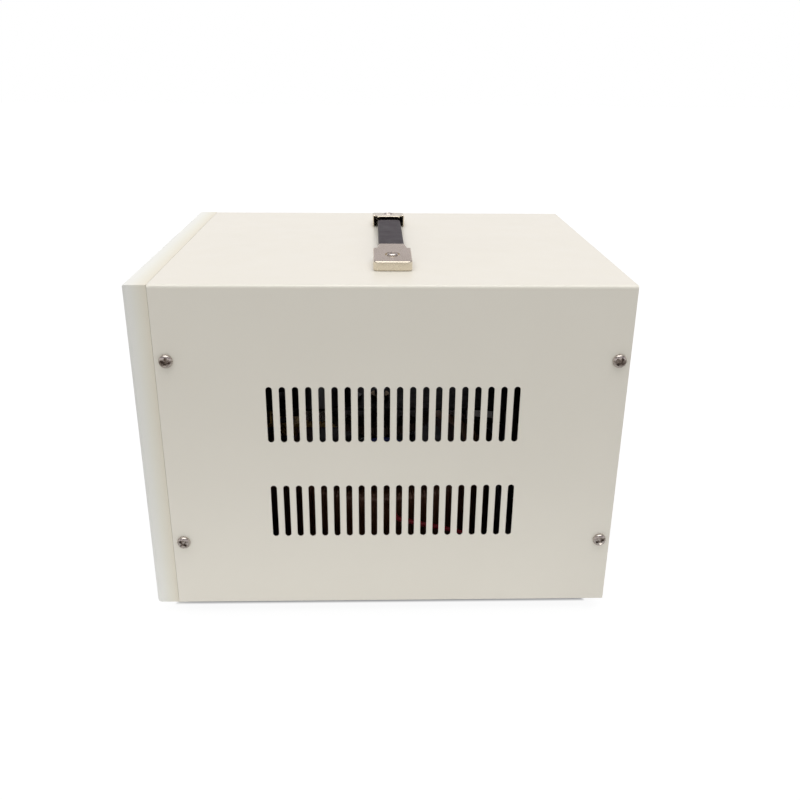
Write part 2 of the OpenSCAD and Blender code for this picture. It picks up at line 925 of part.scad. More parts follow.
// Four screws from the frame into the bezel's bosses
module bezel_screws() {
    color([0.70, 0.70, 0.70])
        for (s = [-1, 1], z = boss_zs)
            translate([s * boss_x, seam_y + end_t, z])
                rotate([-90, 0, 0])
                    pan_screw(bezel_screw_d, bezel_head_d, bezel_head_h, bezel_screw_l);
}

// Feet and their fixings

// Four tapered rubber feet, each with a sunk seat for its screw
module rubber_feet() {
    color([0.10, 0.10, 0.10])
        for (x = foot_xs, y = foot_ys)
            difference() {
                translate([x, y, 0])
                    cylinder(h = foot_h, d1 = foot_d - foot_taper, d2 = foot_d);
                rod_z([x, y, -over], foot_h - foot_web + over, foot_bore_d);
                rod_z([x, y, 0], foot_h + over, screw_d + 2 * hole_gap);
            }
}

// The screws of the feet, from below, and of the bridge, from above
module base_screws() {
    color([0.70, 0.70, 0.70]) {
        for (x = foot_xs, y = foot_ys)
            translate([x, y, foot_h - foot_web])
                rotate([180, 0, 0])
                    pan_screw(screw_d, screw_head_d, screw_head_h, base_screw_l);
        for (sx = [-1, 1], sy = [-1, 1])
            translate([sx * bridge_screw_x, mid_y + sy * bridge_foot_y, floor_z + bridge_t])
                pan_screw(screw_d, screw_head_d, screw_head_h, pan_t + bridge_t + m4_nut_t + bolt_tail);
    }
}

// M4 nuts on the feet's, the bridge's and the handle's screws
module m4_nuts() {
    color([0.68, 0.68, 0.68]) {
        for (x = foot_xs, y = foot_ys)
            translate([x, y, floor_z])
                hex_nut(screw_d, m4_nut_d, m4_nut_t);
        for (sx = [-1, 1], sy = [-1, 1])
            translate([sx * bridge_screw_x, mid_y + sy * bridge_foot_y, base_z - m4_nut_t])
                hex_nut(screw_d, m4_nut_d, m4_nut_t);
        for (s = [-1, 1])
            translate([s * handle_screw_x, cover_mid_y, top_z - cover_t - m4_nut_t])
                hex_nut(screw_d, m4_nut_d, m4_nut_t);
    }
}

// M5 nuts under the clamp bolts and on the earth stud
module m5_nuts() {
    color([0.68, 0.68, 0.68]) {
        at_regulator(base_z - m5_nut_t)
            at_bolts()
                hex_nut(m5_d, m5_nut_d, m5_nut_t);
        translate([earth_x, panel_y, terminal_z])
            rotate([-90, 0, 0])
                hex_nut(m5_d, m5_nut_d, m5_nut_t);
    }
}

// Strap handle

// Height of a cap's top above the cover at x
function cap_top(x) = cap_low_h + (handle_l / 2 - x) * cap_slope;

// The right end cap: a sloping hood with a narrow tongue over the strap
module handle_cap() {
    end_x = handle_l / 2;
    root_x = cap_x0 + cap_t;
    translate([0, cover_mid_y, top_z])
        difference() {
            union() {
                intersection() {
                    along_y(-cap_w / 2 - over, cap_w + 2 * over)
                        polygon([
                            [cap_x0, 0],
                            [end_x + over, 0],
                            [end_x + over, cap_top(end_x + over)],
                            [cap_x0, cap_top(cap_x0)]
                        ]);
                    linear_extrude(2 * cap_high_h)
                        translate([cap_x0, 0])
                            rounded([2 * cap_wall_l, cap_w], cap_corner_r);
                }
                intersection() {
                    along_y(-cap_root_w / 2 - over, cap_root_w + 2 * over)
                        polygon([
                            [cap_tip_x - over, cap_top(cap_tip_x - over) - cap_t],
                            [root_x, cap_top(root_x) - cap_t],
                            [root_x, cap_top(root_x)],
                            [cap_tip_x - over, cap_top(cap_tip_x - over)]
                        ]);
                    linear_extrude(2 * cap_high_h)
                        intersection() {
                            polygon([
                                [cap_tip_x, -cap_tip_w / 2],
                                [root_x, -cap_root_w / 2],
                                [root_x, cap_root_w / 2],
                                [cap_tip_x, cap_tip_w / 2]
                            ]);
                            translate([root_x, 0])
                                rounded([2 * (cap_tongue_l + cap_t), cap_root_w], cap_corner_r);
                        }
                }
            }
            intersection() {
                along_y(-cap_w / 2, cap_w)
                    polygon([
                        [cap_x0 - over, -over],
                        [end_x, -over],
                        [end_x, cap_top(end_x) - cap_t],
                        [cap_x0 - over, cap_top(cap_x0 - over) - cap_t]
                    ]);
                translate([0, 0, -2 * over])
                    linear_extrude(2 * cap_high_h)
                        translate([cap_x0, 0])
                            rounded([2 * (cap_wall_l - cap_t), cap_w - 2 * cap_t], cap_corner_r - cap_t);
            }
            rod_z([handle_screw_x, 0, 0], cap_high_h + over, screw_d + 2 * hole_gap);
            rod_z([handle_screw_x, 0, dimple_h], cap_high_h, dimple_d);
        }
}

module handle_cap_right() {
    color([0.82, 0.82, 0.80])
        handle_cap();
}

module handle_cap_left() {
    color([0.82, 0.82, 0.80])
        mirror([1, 0, 0])
            handle_cap();
}

// The moulded grip between the tongues, with the channel for its steel core
module handle_grip() {
    color([0.17, 0.15, 0.17])
        difference() {
            translate([0, cover_mid_y, top_z + grip_air + grip_t / 2])
                along_x(-grip_x, 2 * grip_x)
                    rounded([grip_w, grip_t], grip_edge_r);
            block([-grip_x - over, cover_mid_y - core_w / 2 - slip, core_z - slip],
                [grip_x + over, cover_mid_y + core_w / 2 + slip, core_z + core_t + slip]);
        }
}

// The spring-steel strip, slotted at its ends so that it can bow when the grip is lifted
module handle_core() {
    color([0.55, 0.56, 0.58])
        difference() {
            translate([0, cover_mid_y, core_z])
                linear_extrude(core_t)
                    rounded([2 * core_x, core_w], cap_corner_r);
            for (s = [-1, 1])
                translate([s * (handle_screw_x + core_play / 2), cover_mid_y, core_z - over])
                    rotate(90)
                        linear_extrude(core_t + 2 * over)
                            obround(screw_d + 2 * hole_gap, core_play + screw_d + 2 * hole_gap);
        }
}

module handle_screws() {
    color([0.78, 0.77, 0.75])
        for (s = [-1, 1])
            translate([s * handle_screw_x, cover_mid_y, top_z + dimple_h])
                pan_screw(screw_d, handle_head_d, handle_head_h, handle_screw_l);
}

// Voltmeters: s is -1 for the input and 1 for the output

// A meter's case, open in front above its chin
module meter_case(s) {
    color([0.12, 0.12, 0.13])
        translate([s * meter_gap / 2, 0, meter_z])
            difference() {
                union() {
                    along_y(meter_y, meter_frame_t)
                        rounded([meter_w, meter_h], meter_r);
                    along_y(face_y, meter_d - meter_frame_t)
                        square([meter_body_w, meter_body_h], center = true);
                }
                along_y(meter_y - over, glass_sink + glass_t + over)
                    translate([0, (chin_h - glass_in) / 2])
                        rounded([glass_w, glass_h], meter_r / 2);
                along_y(meter_y + glass_sink + glass_t - slip, dial_in + dial_t - glass_sink - glass_t + slip)
                    square([room_w, room_h], center = true);
                along_y(dial_y, meter_d - dial_in - meter_wall)
                    square([room_w - 2 * ledge, room_h - 2 * ledge], center = true);
            }
}

// A meter's dial plate, with its scale's raised ticks and the pivot pin
module meter_dial(s) {
    pin_l = needle_air + needle_hub_t + needle_t;
    color([0.93, 0.93, 0.90])
        translate([s * meter_gap / 2, 0, 0]) {
            translate([0, 0, meter_z])
                along_y(dial_y, dial_t)
                    square([room_w - 2 * slip, room_h - 2 * slip], center = true);
            translate([0, 0, pivot_z]) {
                along_y(dial_y - tick_t, 2 * tick_t)
                    for (i = [0 : tick_n])
                        rotate(needle_rest * (1 - 2 * i / tick_n))
                            translate([-tick_w / 2, needle_l - tick_l])
                                square([tick_w, tick_l]);
                rod_y([0, dial_y - pin_l, 0], pin_l + dial_t / 2, needle_pin_d);
            }
        }
}

// A meter's needle, at rest on the left end of its scale
module meter_needle(s) {
    hub_y = dial_y - needle_air - needle_hub_t;
    color([0.75, 0.10, 0.08])
        translate([s * meter_gap / 2, 0, pivot_z])
            difference() {
                union() {
                    rod_y([0, hub_y, 0], needle_hub_t, needle_hub_d);
                    along_y(hub_y + needle_hub_t / 2, needle_t)
                        rotate(needle_rest)
                            polygon([[-needle_base_w / 2, 0], [needle_base_w / 2, 0],
                                [needle_tip_w / 2, needle_l], [-needle_tip_w / 2, needle_l]]);
                }
                rod_y([0, hub_y - over, 0], needle_hub_t + 2 * over, needle_pin_d + 2 * run_gap);
            }
}

// A meter's clear window
module meter_window(s) {
    color([0.85, 0.92, 0.95, 0.4])
        translate([s * meter_gap / 2, 0, meter_z + (chin_h - glass_in) / 2])
            along_y(meter_y + glass_sink, glass_t - slip)
                rounded([glass_w - 2 * slip, glass_h - 2 * slip], meter_r / 2);
}

module meter_case_input() {
    meter_case(-1);
}

module meter_case_output() {
    meter_case(1);
}

module meter_dial_input() {
    meter_dial(-1);
}

module meter_dial_output() {
    meter_dial(1);
}

module meter_needle_input() {
    meter_needle(-1);
}

module meter_needle_output() {
    meter_needle(1);
}

module meter_window_input() {
    meter_window(-1);
}

module meter_window_output() {
    meter_window(1);
}

// Lamps, delay switch and circuit breaker

// A domed lamp with its rim and barrel, k lamp places from the middle
module lamp(k) {
    dome_r = (lamp_d * lamp_d / 4 + lamp_dome_h * lamp_dome_h) / (2 * lamp_dome_h);
    translate([k * lamp_pitch, face_y, lamp_z])
        rotate([90, 0, 0])
            rotate_extrude() {
                translate([0, -lamp_barrel_l])
                    square([lamp_d / 2, lamp_barrel_l + lamp_rim_t]);
                square([lamp_d / 2 + lamp_rim, lamp_rim_t]);
                intersection() {
                    translate([0, lamp_rim_t + lamp_dome_h - dome_r])
                        circle(dome_r);
                    square([lamp_d / 2, lamp_rim_t + lamp_dome_h]);
                }
            }
}

module lamp_green() {
    color([0.15, 0.65, 0.25])
        lamp(-1);
}

module lamp_yellow() {
    color([0.90, 0.70, 0.12])
        lamp(0);
}

module lamp_red() {
    color([0.80, 0.12, 0.10])
        lamp(1);
}

module lamp_nuts() {
    color([0.20, 0.20, 0.20])
        for (k = [-1, 0, 1])
            difference() {
                rod_y([k * lamp_pitch, back_y, lamp_z], m4_nut_t, lamp_d + 2 * lamp_nut_wall);
                rod_y([k * lamp_pitch, back_y - over, lamp_z], m4_nut_t + 2 * over, lamp_d + 2 * run_gap);
            }
}

// The delay button, which slides in its switch
module delay_button() {
    color([0.75, 0.10, 0.08])
        rod_y([delay_x, face_y - button_proud, delay_z], button_l, button_d);
}

// The delay switch's collar and body
module delay_switch() {
    color([0.12, 0.12, 0.13])
        difference() {
            union() {
                rod_y([delay_x, face_y - collar_t, delay_z], collar_t, button_d + 4 * collar_wall);
                rod_y([delay_x, face_y, delay_z], bezel_t, button_d + 2 * collar_wall);
                translate([delay_x, 0, delay_z])
                    along_y(back_y, delay_box_l)
                        square(delay_box, center = true);
            }
            rod_y([delay_x, face_y - collar_t - over, delay_z],
                collar_t + over + bezel_t - recess_d + delay_box_l - delay_floor_t, button_d + 2 * slip);
        }
}

// The circuit breaker: its nose stands through the bezel, its shoulders sit behind it
module breaker_body() {
    lever_w = breaker_w * lever_w_share;
    color([0.90, 0.90, 0.88])
        difference() {
            union() {
                translate([breaker_x, 0, breaker_z]) {
                    along_y(breaker_y, breaker_proud + bezel_t + over)
                        square([breaker_w, breaker_nose_h], center = true);
                    along_y(back_y, breaker_body_d)
                        square([breaker_w, breaker_body_h], center = true);
                }
            }
            rod_x([breaker_x - lever_w / 2 - fit_gap, lever_y, breaker_z], lever_w + 2 * fit_gap,
                2 * (drum_r + fit_gap));
        }
}

// The breaker's lever on its drum, at rest in the lower position
module breaker_lever() {
    lever_w = breaker_w * lever_w_share;
    color([0.10, 0.10, 0.11])
        translate([breaker_x - lever_w / 2, lever_y, breaker_z])
            rotate([lever_rest, 0, 0])
                along_x(0, lever_w) {
                    circle(drum_r);
                    polygon([[0, -lever_root_t / 2], [0, lever_root_t / 2],
                        [-lever_r, lever_tip_t / 2], [-lever_r, -lever_tip_t / 2]]);
                }
}

// Rear fittings

// The terminal block: a base, a wall between each pair of ways, and ears for the clear flap
module terminal_block() {
    color([0.13, 0.13, 0.14])
        difference() {
            union() {
                block([-terminal_l / 2, panel_y, terminal_z - terminal_h / 2],
                    [terminal_l / 2, panel_y + terminal_base_d, terminal_z + terminal_h / 2]);
                for (i = [0 : terminal_n]) {
                    x = -terminal_l / 2 + i * terminal_pitch;
                    block([x, panel_y, terminal_z - terminal_h / 2],
                        [x + terminal_wall, panel_y + terminal_d, terminal_z + terminal_h / 2]);
                }
                for (s = [-1, 1])
                    mirror([s < 0 ? 1 : 0, 0, 0]) {
                        rod_x([terminal_l / 2 - terminal_wall, flap_y, flap_z], terminal_wall, 2 * ear_r);
                        block([terminal_l / 2 - terminal_wall, flap_y - ear_r, terminal_z],
                            [terminal_l / 2, flap_y + ear_r, flap_z]);
                    }
            }
            rod_x([-terminal_l / 2 - over, flap_y, flap_z], terminal_l + 2 * over, flap_pin_d + 2 * run_gap);
            at_terminals()
                translate([0, 0, -terminal_stud_l - over])
                    cylinder(h = terminal_stud_l + 2 * over, d = terminal_screw_d + 2 * run_gap);
        }
}

// Places its children on each terminal, with +Z pointing out of the rear
module at_terminals() {
    for (i = [0 : terminal_n - 1])
        translate([(i - (terminal_n - 1) / 2) * terminal_pitch, panel_y + terminal_base_d, terminal_z])
            rotate([-90, 0, 0])
                children();
}

// Terminal screws with their square washers
module terminal_screws() {
    color([0.85, 0.80, 0.62])
        at_terminals()
            union() {
                translate([0, 0, washer_t / 2])
                    cube([washer_w, washer_w, washer_t], center = true);
                translate([0, 0, washer_t])
                    pan_screw(terminal_screw_d, terminal_head_d, terminal_head_h, terminal_stud_l + washer_t);
            }
}

// The clear flap over the terminals, hanging on two pins
module terminal_cover() {
    barrel_x = terminal_l / 2 - terminal_wall - fit_gap;
    flap_y0 = panel_y + terminal_d + flap_air;
    color([0.85, 0.90, 0.92, 0.5]) {
        rod_x([-terminal_l / 2, flap_y, flap_z], terminal_l, flap_pin_d);
        rod_x([-barrel_x, flap_y, flap_z], 2 * barrel_x, flap_barrel_d);
        block([-barrel_x, flap_y, flap_z + flap_barrel_d / 2 - flap_t],
            [barrel_x, flap_y0 + flap_t, flap_z + flap_barrel_d / 2]);
        block([-terminal_l / 2, flap_y0, terminal_z - terminal_h / 2],
            [terminal_l / 2, flap_y0 + flap_t, flap_z + flap_barrel_d / 2]);
    }
}

// A five-pin outlet in the rear panel, s places its side
module outlet(s) {
    color([0.14, 0.14, 0.15])
        translate([s * outlet_gap / 2, 0, outlet_z])
            difference() {
                union() {
                    along_y(panel_y, outlet_face_t)
                        rounded([outlet_side, outlet_side], outlet_r);
                    along_y(panel_y - outlet_body_d, outlet_body_d)
                        square(outlet_side - 2 * outlet_body_in, center = true);
                }
                along_y(panel_y + outlet_face_t - pin_deep, pin_deep + over) {
                    for (k = [-1, 1]) {
                        translate([k * pair_out, pair_up])
                            square([pin_w, pin_h], center = true);
                        translate([k * trio_out, -trio_down])
                            rotate(-k * trio_lean)
                                square([pin_w, pin_h], center = true);
                    }
                    translate([0, -trio_down - trio_gap])
                        square([pin_w, pin_h], center = true);
                }
            }
}

module outlet_left() {
    outlet(-1);
}

module outlet_right() {
    outlet(1);
}

// The earth stud, welded behind the panel
module earth_stud() {
    color([0.80, 0.72, 0.45]) {
        rod_y([earth_x, panel_y - end_t - earth_weld_t, terminal_z], earth_weld_t + end_t + m5_nut_t, m5_d);
        rod_y([earth_x, panel_y + m5_nut_t - over, terminal_z], earth_free_l + over, earth_free_d);
        rod_y([earth_x, panel_y - end_t - earth_weld_t, terminal_z], earth_weld_t, m5_nut_d);
    }
}

// Regulator

// Places its children at the clamp bolts
module at_bolts() {
    for (i = [0 : bolt_n - 1])
        rotate(90 + 360 * i / bolt_n)
            translate([bolt_r, 0, 0])
                children();
}

// Half section of the toroid, in by a distance on every side
module toroid_section(in, r) {
    r0 = toroid_hole_d / 2;
    r1 = toroid_d / 2;
    translate([(r0 + r1) / 2, toroid_h / 2])
        rounded([r1 - r0 - 2 * in, toroid_h - 2 * in], r);
}

// The wound strip core inside the winding
module toroid_core() {
    color([0.45, 0.46, 0.48])
        at_regulator(toroid_z0)
            rotate_extrude()
                toroid_section(wrap_t + fit_gap, run_gap);
}

// The copper winding round the core, with a share of its turns raised
module toroid_winding() {
    color([0.55, 0.30, 0.15])
        at_regulator(toroid_z0)
            difference() {
                union() {
                    rotate_extrude()
                        toroid_section(turn_h, winding_edge_r);
                    for (i = [0 : turn_n - 1])
                        rotate([90, 0, 360 * i / turn_n])
                            translate([0, 0, -turn_t / 2])
                                linear_extrude(turn_t)
                                    toroid_section(0, winding_edge_r);
                }
                rotate_extrude()
                    toroid_section(wrap_t, run_gap);
            }
}

// The insulating pad under the winding
module toroid_pad() {
    color([0.30, 0.28, 0.25])
        at_regulator(floor_z)
            difference() {
                cylinder(h = pad_t, d = toroid_d - 2 * pad_in);
                translate([0, 0, -over])
                    cylinder(h = pad_t + 2 * over, d = toroid_hole_d - 2 * pad_in);
            }
}

// The moulded disc that clamps the winding and carries the lower bearing
module clamp_disc() {
    bore_z = toroid_z1 - disc_spigot - over;
    bore_l = disc_t + disc_spigot + 2 * over;
    color([0.20, 0.20, 0.21])
        at_regulator(0)
            difference() {
                union() {
                    rod_z([0, 0, toroid_z1], disc_t, toroid_hole_d + 2 * disc_lip);
                    rod_z([0, 0, toroid_z1 - disc_spigot], disc_spigot, toroid_hole_d - 2 * fit_gap);
                }
                rod_z([0, 0, bore_z], bore_l, bush_d + 2 * press_gap);
                at_bolts()
                    rod_z([0, 0, bore_z], bore_l, m5_d + 2 * hole_gap);
            }
}

// Three long bolts from the disc through the pan
module clamp_bolts() {
    length = disc_z1 - base_z + m5_nut_t + bolt_tail;
    color([0.70, 0.70, 0.70])
        at_regulator(disc_z1)
            at_bolts()
                pan_screw(m5_d, bolt_head_d, bolt_head_h, length);
}

// A flanged bearing bush on Z = 0, its body pointing down
module bush(l) {
    rotate_extrude() {
        translate([shaft_d / 2 + run_gap, -l])
            square([bush_wall, l]);
        translate([shaft_d / 2 + run_gap, 0])
            square([bush_wall + bush_rim, bush_rim_t]);
    }
}

module bearing_bushes() {
    color([0.80, 0.65, 0.35]) {
        at_regulator(disc_z1)
            bush(disc_t);
        at_regulator(bridge_z)
            rotate([180, 0, 0])
                bush(disc_t);
    }
}

module arm_shaft() {
    color([0.75, 0.75, 0.76])
        at_regulator(disc_z1 - disc_t)
            cylinder(h = bridge_z + disc_t + shaft_tail - disc_z1 + disc_t, d = shaft_d);
}

// The brush arm, at rest towards the front, with its brush holder and the limit switches' dog
module brush_arm() {
    holder_x = brush_w / 2 + holder_wall;
    holder_y = brush_l / 2 + holder_wall;
    color([0.82, 0.66, 0.36])
        at_regulator(arm_z)
            difference() {
                union() {
                    cylinder(h = arm_hub_h, d = arm_hub_d);
                    block([-arm_w / 2, -dog_r, arm_up], [arm_w / 2, 0, arm_up + arm_t]);
                    block([-holder_x, -track_r - holder_y, arm_up + arm_t - holder_h],
                        [holder_x, -track_r + holder_y, arm_up + arm_t]);
                    rod_z([0, -dog_r, arm_up], dog_h, dog_d);
                    rod_z([0, -dog_r, arm_up], arm_t, arm_w);
                }
                rod_z([0, 0, -over], arm_hub_h + 2 * over, shaft_d + 2 * press_gap);
                block([-brush_w / 2 - slip, -track_r - brush_l / 2 - slip, -arm_hub_h],
                    [brush_w / 2 + slip, -track_r + brush_l / 2 + slip, arm_hub_h]);
            }
}

// The carbon brush, which slides in its holder and rests on the winding
module carbon_brush() {
    color([0.15, 0.15, 0.16])
        translate([0, mid_y - track_r, toroid_z1 + fit_gap + brush_h / 2])
            cube([brush_w, brush_l, brush_h], center = true);
}

// The drive gear: a webbed wheel with six round holes
module drive_gear() {
    pitch_r = gear_m * gear_n / 2;
    web_r = pitch_r - root_share * gear_m - gear_rim_t;
    color([0.90, 0.88, 0.80])
        at_regulator(gear_z)
            difference() {
                union() {
                    difference() {
                        linear_extrude(gear_t)
                            rotate(-90)
                                gear_outline(gear_n);
                        rod_z([0, 0, gear_web_t], gear_t, 2 * web_r);
                        for (i = [0 : gear_hole_n - 1])
                            rotate(360 * i / gear_hole_n)
                                rod_z([gear_hole_r, 0, -over], gear_t + 2 * over, gear_hole_d);
                    }
                    cylinder(h = gear_t + gear_hub_h, d = arm_hub_d);
                }
                rod_z([0, 0, -over], gear_t + gear_hub_h + 2 * over, shaft_d + 2 * press_gap);
            }
}

// The bridge over the winding: two legs with feet, and a plate for the motor and the upper bearing
module bridge_side() {
    outer = bridge_y + bridge_t;
    for (s = [-1, 1])
        mirror([s < 0 ? 1 : 0, 0]) {
            translate([bridge_y, floor_z])
                square([bridge_t, bridge_z + bridge_t - floor_z]);
            translate([bridge_y, floor_z])
                square([bridge_t + bridge_foot, bridge_t]);
        }
    translate([-outer, bridge_z])
        square([2 * outer, bridge_t]);
}

module motor_bridge() {
    color([0.10, 0.10, 0.11])
        translate([0, mid_y, 0])
            difference() {
                union() {
                    along_x(-bridge_w / 2, bridge_w)
                        bridge_side();
                    block([-wing_x, wing_y0, bridge_z], [wing_x, wing_y1, bridge_z + bridge_t]);
                }
                rod_z([0, 0, bridge_z - over], bridge_t + 2 * over, bush_d + 2 * press_gap);
                rod_z([0, -pair_d, bridge_z - over], bridge_t + 2 * over, motor_boss_d + 2 * slip);
                for (sx = [-1, 1], sy = [-1, 1])
                    rod_z([sx * bridge_screw_x, sy * bridge_foot_y, floor_z - over], bridge_t + 2 * over,
                        screw_d + 2 * hole_gap);
            }
}

// The geared servo motor on the bridge, with its boss through the plate
module servo_motor() {
    motor_z = bridge_z + bridge_t;
    color([0.60, 0.61, 0.63])
        at_regulator(0)
            translate([0, -pair_d, 0])
                difference() {
                    union() {
                        rod_z([0, 0, motor_z], motor_h, motor_d);
                        rod_z([0, 0, bridge_z], bridge_t + over, motor_boss_d);
                        translate([0, 0, motor_z])
                            linear_extrude(motor_ear_t)
                                obround(motor_ear_w, motor_d + 2 * motor_ear_l);
                    }
                    rod_z([0, 0, bridge_z - over], motor_boss_l + over, motor_shaft_d + 2 * run_gap);
                }
}

// The motor's pinion on its shaft
module motor_pinion() {
    shaft_z = gear_z - pinion_over;
    color([0.85, 0.84, 0.78])
        at_regulator(0)
            translate([0, -pair_d, 0]) {
                translate([0, 0, shaft_z])
                    linear_extrude(gear_t + 2 * pinion_over)
                        rotate(90 + 180 / pinion_n)
                            gear_outline(pinion_n);
                rod_z([0, 0, shaft_z], bridge_z + motor_boss_l - over - shaft_z, motor_shaft_d);
            }
}

// Places a limit switch: s is 1 at the arm's high end and -1 at its low end
module at_switch(s) {
    at_regulator(bridge_z)
        mirror([s < 0 ? 1 : 0, 0, 0])
            rotate(-blade_a)
                translate([0, eye_r, 0])
                    children();
}

// The two limit switches under the bridge, each with a lug and a pin for its lever
module limit_switches() {
    color([0.13, 0.13, 0.14])
        for (s = [-1, 1])
            at_switch(s) {
                block([-switch_gap - switch_w, -eye_d / 2, -switch_h],
                    [-switch_gap, switch_l - eye_d / 2, 0]);
                block([-switch_gap - plunger_w, -eye_d / 2, -lug_t], [eye_d / 2, eye_d / 2, 0]);
                rod_z([0, 0, -switch_h], switch_h, eye_pin_d);
                block([-switch_gap, blade_l / 2, -switch_h / 2 - plunger_w / 2],
                    [-switch_gap + plunger_w / 2, blade_l / 2 + plunger_w, -switch_h / 2 + plunger_w / 2]);
            }
}

// A limit switch's lever: a rolled eye round the pin and a spring blade
module limit_lever(s) {
    top = -lug_t - fit_gap;
    color([0.75, 0.75, 0.76])
        at_switch(s)
            difference() {
                union() {
                    rod_z([0, 0, top - eye_h], eye_h, eye_d);
                    block([-blade_t / 2, 0, top - blade_h], [blade_t / 2, blade_l, top]);
                }
                rod_z([0, 0, -switch_h - over], switch_h + 2 * over, eye_pin_d + 2 * run_gap);
            }
}

module limit_lever_low() {
    limit_lever(-1);
}

module limit_lever_high() {
    limit_lever(1);
}

// Electronics and wires

// Places its children at the board's three standoffs: two below, one above between the meters
module at_standoffs() {
    for (s = [-1, 1])
        translate([s * (board_w / 2 - standoff_in), 0, board_z0 + standoff_in])
            children();
    translate([0, 0, board_z0 + board_h - standoff_in])
        children();
}

module control_board() {
    color([0.15, 0.42, 0.25])
        difference() {
            block([-board_w / 2, board_y, board_z0], [board_w / 2, board_y + board_t, board_z0 + board_h]);
            at_standoffs()
                rod_y([0, board_y - over, 0], board_t + 2 * over, standoff_d / 2);
        }
}

// The standoffs, and the relays, capacitors and supply transformer on the board
module board_parts() {
    y = board_y + board_t;
    color([0.20, 0.24, 0.32]) {
        at_standoffs()
            rod_y([0, seam_y + end_t, 0], standoff_l, standoff_d);
        for (k = [-1, 0, 1])
            translate([k * relay_gap - relay_size.x / 2, y, board_z0 + board_h - relay_size.z - 2 * part_in])
                cube(relay_size);
        translate([-board_w / 2 + part_in, y, board_z0 + 2 * part_in])
            cube([choke_size.x, choke_size.y, choke_size.z - part_in]);
        for (k = [1, 2])
            rod_y([k * relay_gap - part_in, y, board_z0 + 3 * part_in], can_h, can_d);
    }
}

module wire_red() {
    color([0.78, 0.10, 0.08])
        wire(route(red_from, red_shares, red_to), wire_d);
}

module wire_blue() {
    color([0.20, 0.25, 0.60])
        wire(route(blue_from, blue_shares, blue_to), wire_d);
}

// Build the whole object or one node
cover();
front_bezel();
base_pan();
front_frame();
rear_panel();
cover_screws();
clinch_nuts();
bezel_screws();
rubber_feet();
base_screws();
m4_nuts();
m5_nuts();
handle_cap_right();
handle_cap_left();
handle_grip();
handle_core();
handle_screws();
meter_case_input();
meter_case_output();
meter_dial_input();
meter_dial_output();
meter_needle_input();
meter_needle_output();
meter_window_input();
meter_window_output();
lamp_green();
lamp_yellow();
lamp_red();
lamp_nuts();
delay_button();
delay_switch();
breaker_body();
breaker_lever();
terminal_block();
terminal_screws();
terminal_cover();
outlet_left();
outlet_right();
earth_stud();
toroid_core();
toroid_winding();
toroid_pad();
clamp_disc();
clamp_bolts();
bearing_bushes();
arm_shaft();
brush_arm();
carbon_brush();
drive_gear();
motor_bridge();
servo_motor();
motor_pinion();
limit_switches();
limit_lever_low();
limit_lever_high();
control_board();
board_parts();
wire_red();
wire_blue();
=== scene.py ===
"""Looks of the voltage stabilizer. Everything is in metres, in the same frame as the CAD model."""

import json
import math

import bmesh
import bpy
from mathutils import Matrix, Vector

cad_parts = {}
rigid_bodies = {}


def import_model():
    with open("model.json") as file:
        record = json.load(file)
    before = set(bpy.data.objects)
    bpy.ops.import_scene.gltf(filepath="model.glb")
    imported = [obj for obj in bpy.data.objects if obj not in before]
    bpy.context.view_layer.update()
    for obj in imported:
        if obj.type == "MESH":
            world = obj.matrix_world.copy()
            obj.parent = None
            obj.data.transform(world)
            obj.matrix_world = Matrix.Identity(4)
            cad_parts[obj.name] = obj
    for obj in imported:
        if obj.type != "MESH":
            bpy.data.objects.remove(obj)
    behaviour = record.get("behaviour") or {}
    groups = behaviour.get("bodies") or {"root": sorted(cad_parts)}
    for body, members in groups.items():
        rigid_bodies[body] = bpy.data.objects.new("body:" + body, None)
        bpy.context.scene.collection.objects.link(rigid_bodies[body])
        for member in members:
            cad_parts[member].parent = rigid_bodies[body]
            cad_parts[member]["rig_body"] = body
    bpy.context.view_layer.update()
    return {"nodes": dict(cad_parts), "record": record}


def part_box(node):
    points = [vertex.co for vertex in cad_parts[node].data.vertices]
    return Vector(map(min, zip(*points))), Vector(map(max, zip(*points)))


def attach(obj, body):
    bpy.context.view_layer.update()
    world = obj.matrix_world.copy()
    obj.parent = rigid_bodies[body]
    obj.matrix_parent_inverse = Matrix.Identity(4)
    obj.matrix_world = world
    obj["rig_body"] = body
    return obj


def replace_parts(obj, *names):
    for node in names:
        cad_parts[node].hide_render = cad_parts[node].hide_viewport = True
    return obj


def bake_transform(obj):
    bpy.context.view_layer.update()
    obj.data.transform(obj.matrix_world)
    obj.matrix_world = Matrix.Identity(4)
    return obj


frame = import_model()
scene = bpy.context.scene

# Places taken from the frame
cover_lo, cover_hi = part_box("cover")
bezel_lo, bezel_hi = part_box("front_bezel")
ring_lo, ring_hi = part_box("toroid_winding")
top_z = cover_hi.z
base_z = cover_lo.z
half_w = cover_hi.x
case_l = cover_hi.y - bezel_lo.y
case_h = top_z - base_z
mid_y = (ring_lo.y + ring_hi.y) / 2
handle_y = sum(p.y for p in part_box("handle_grip")) / 2


# Camera at the photo's viewpoint, fitted to the case's outline, its slots and screws, and the handle

CAMERA_AT = (0.58888, -0.00801, 0.32893)
YAW, PITCH, ROLL = math.radians(-1.8722), math.radians(23.0112), math.radians(0.562)
LENS_MM, SENSOR_MM = 39.10356, 36
SHIFT_X, SHIFT_Y = 0.00209, 0.03142


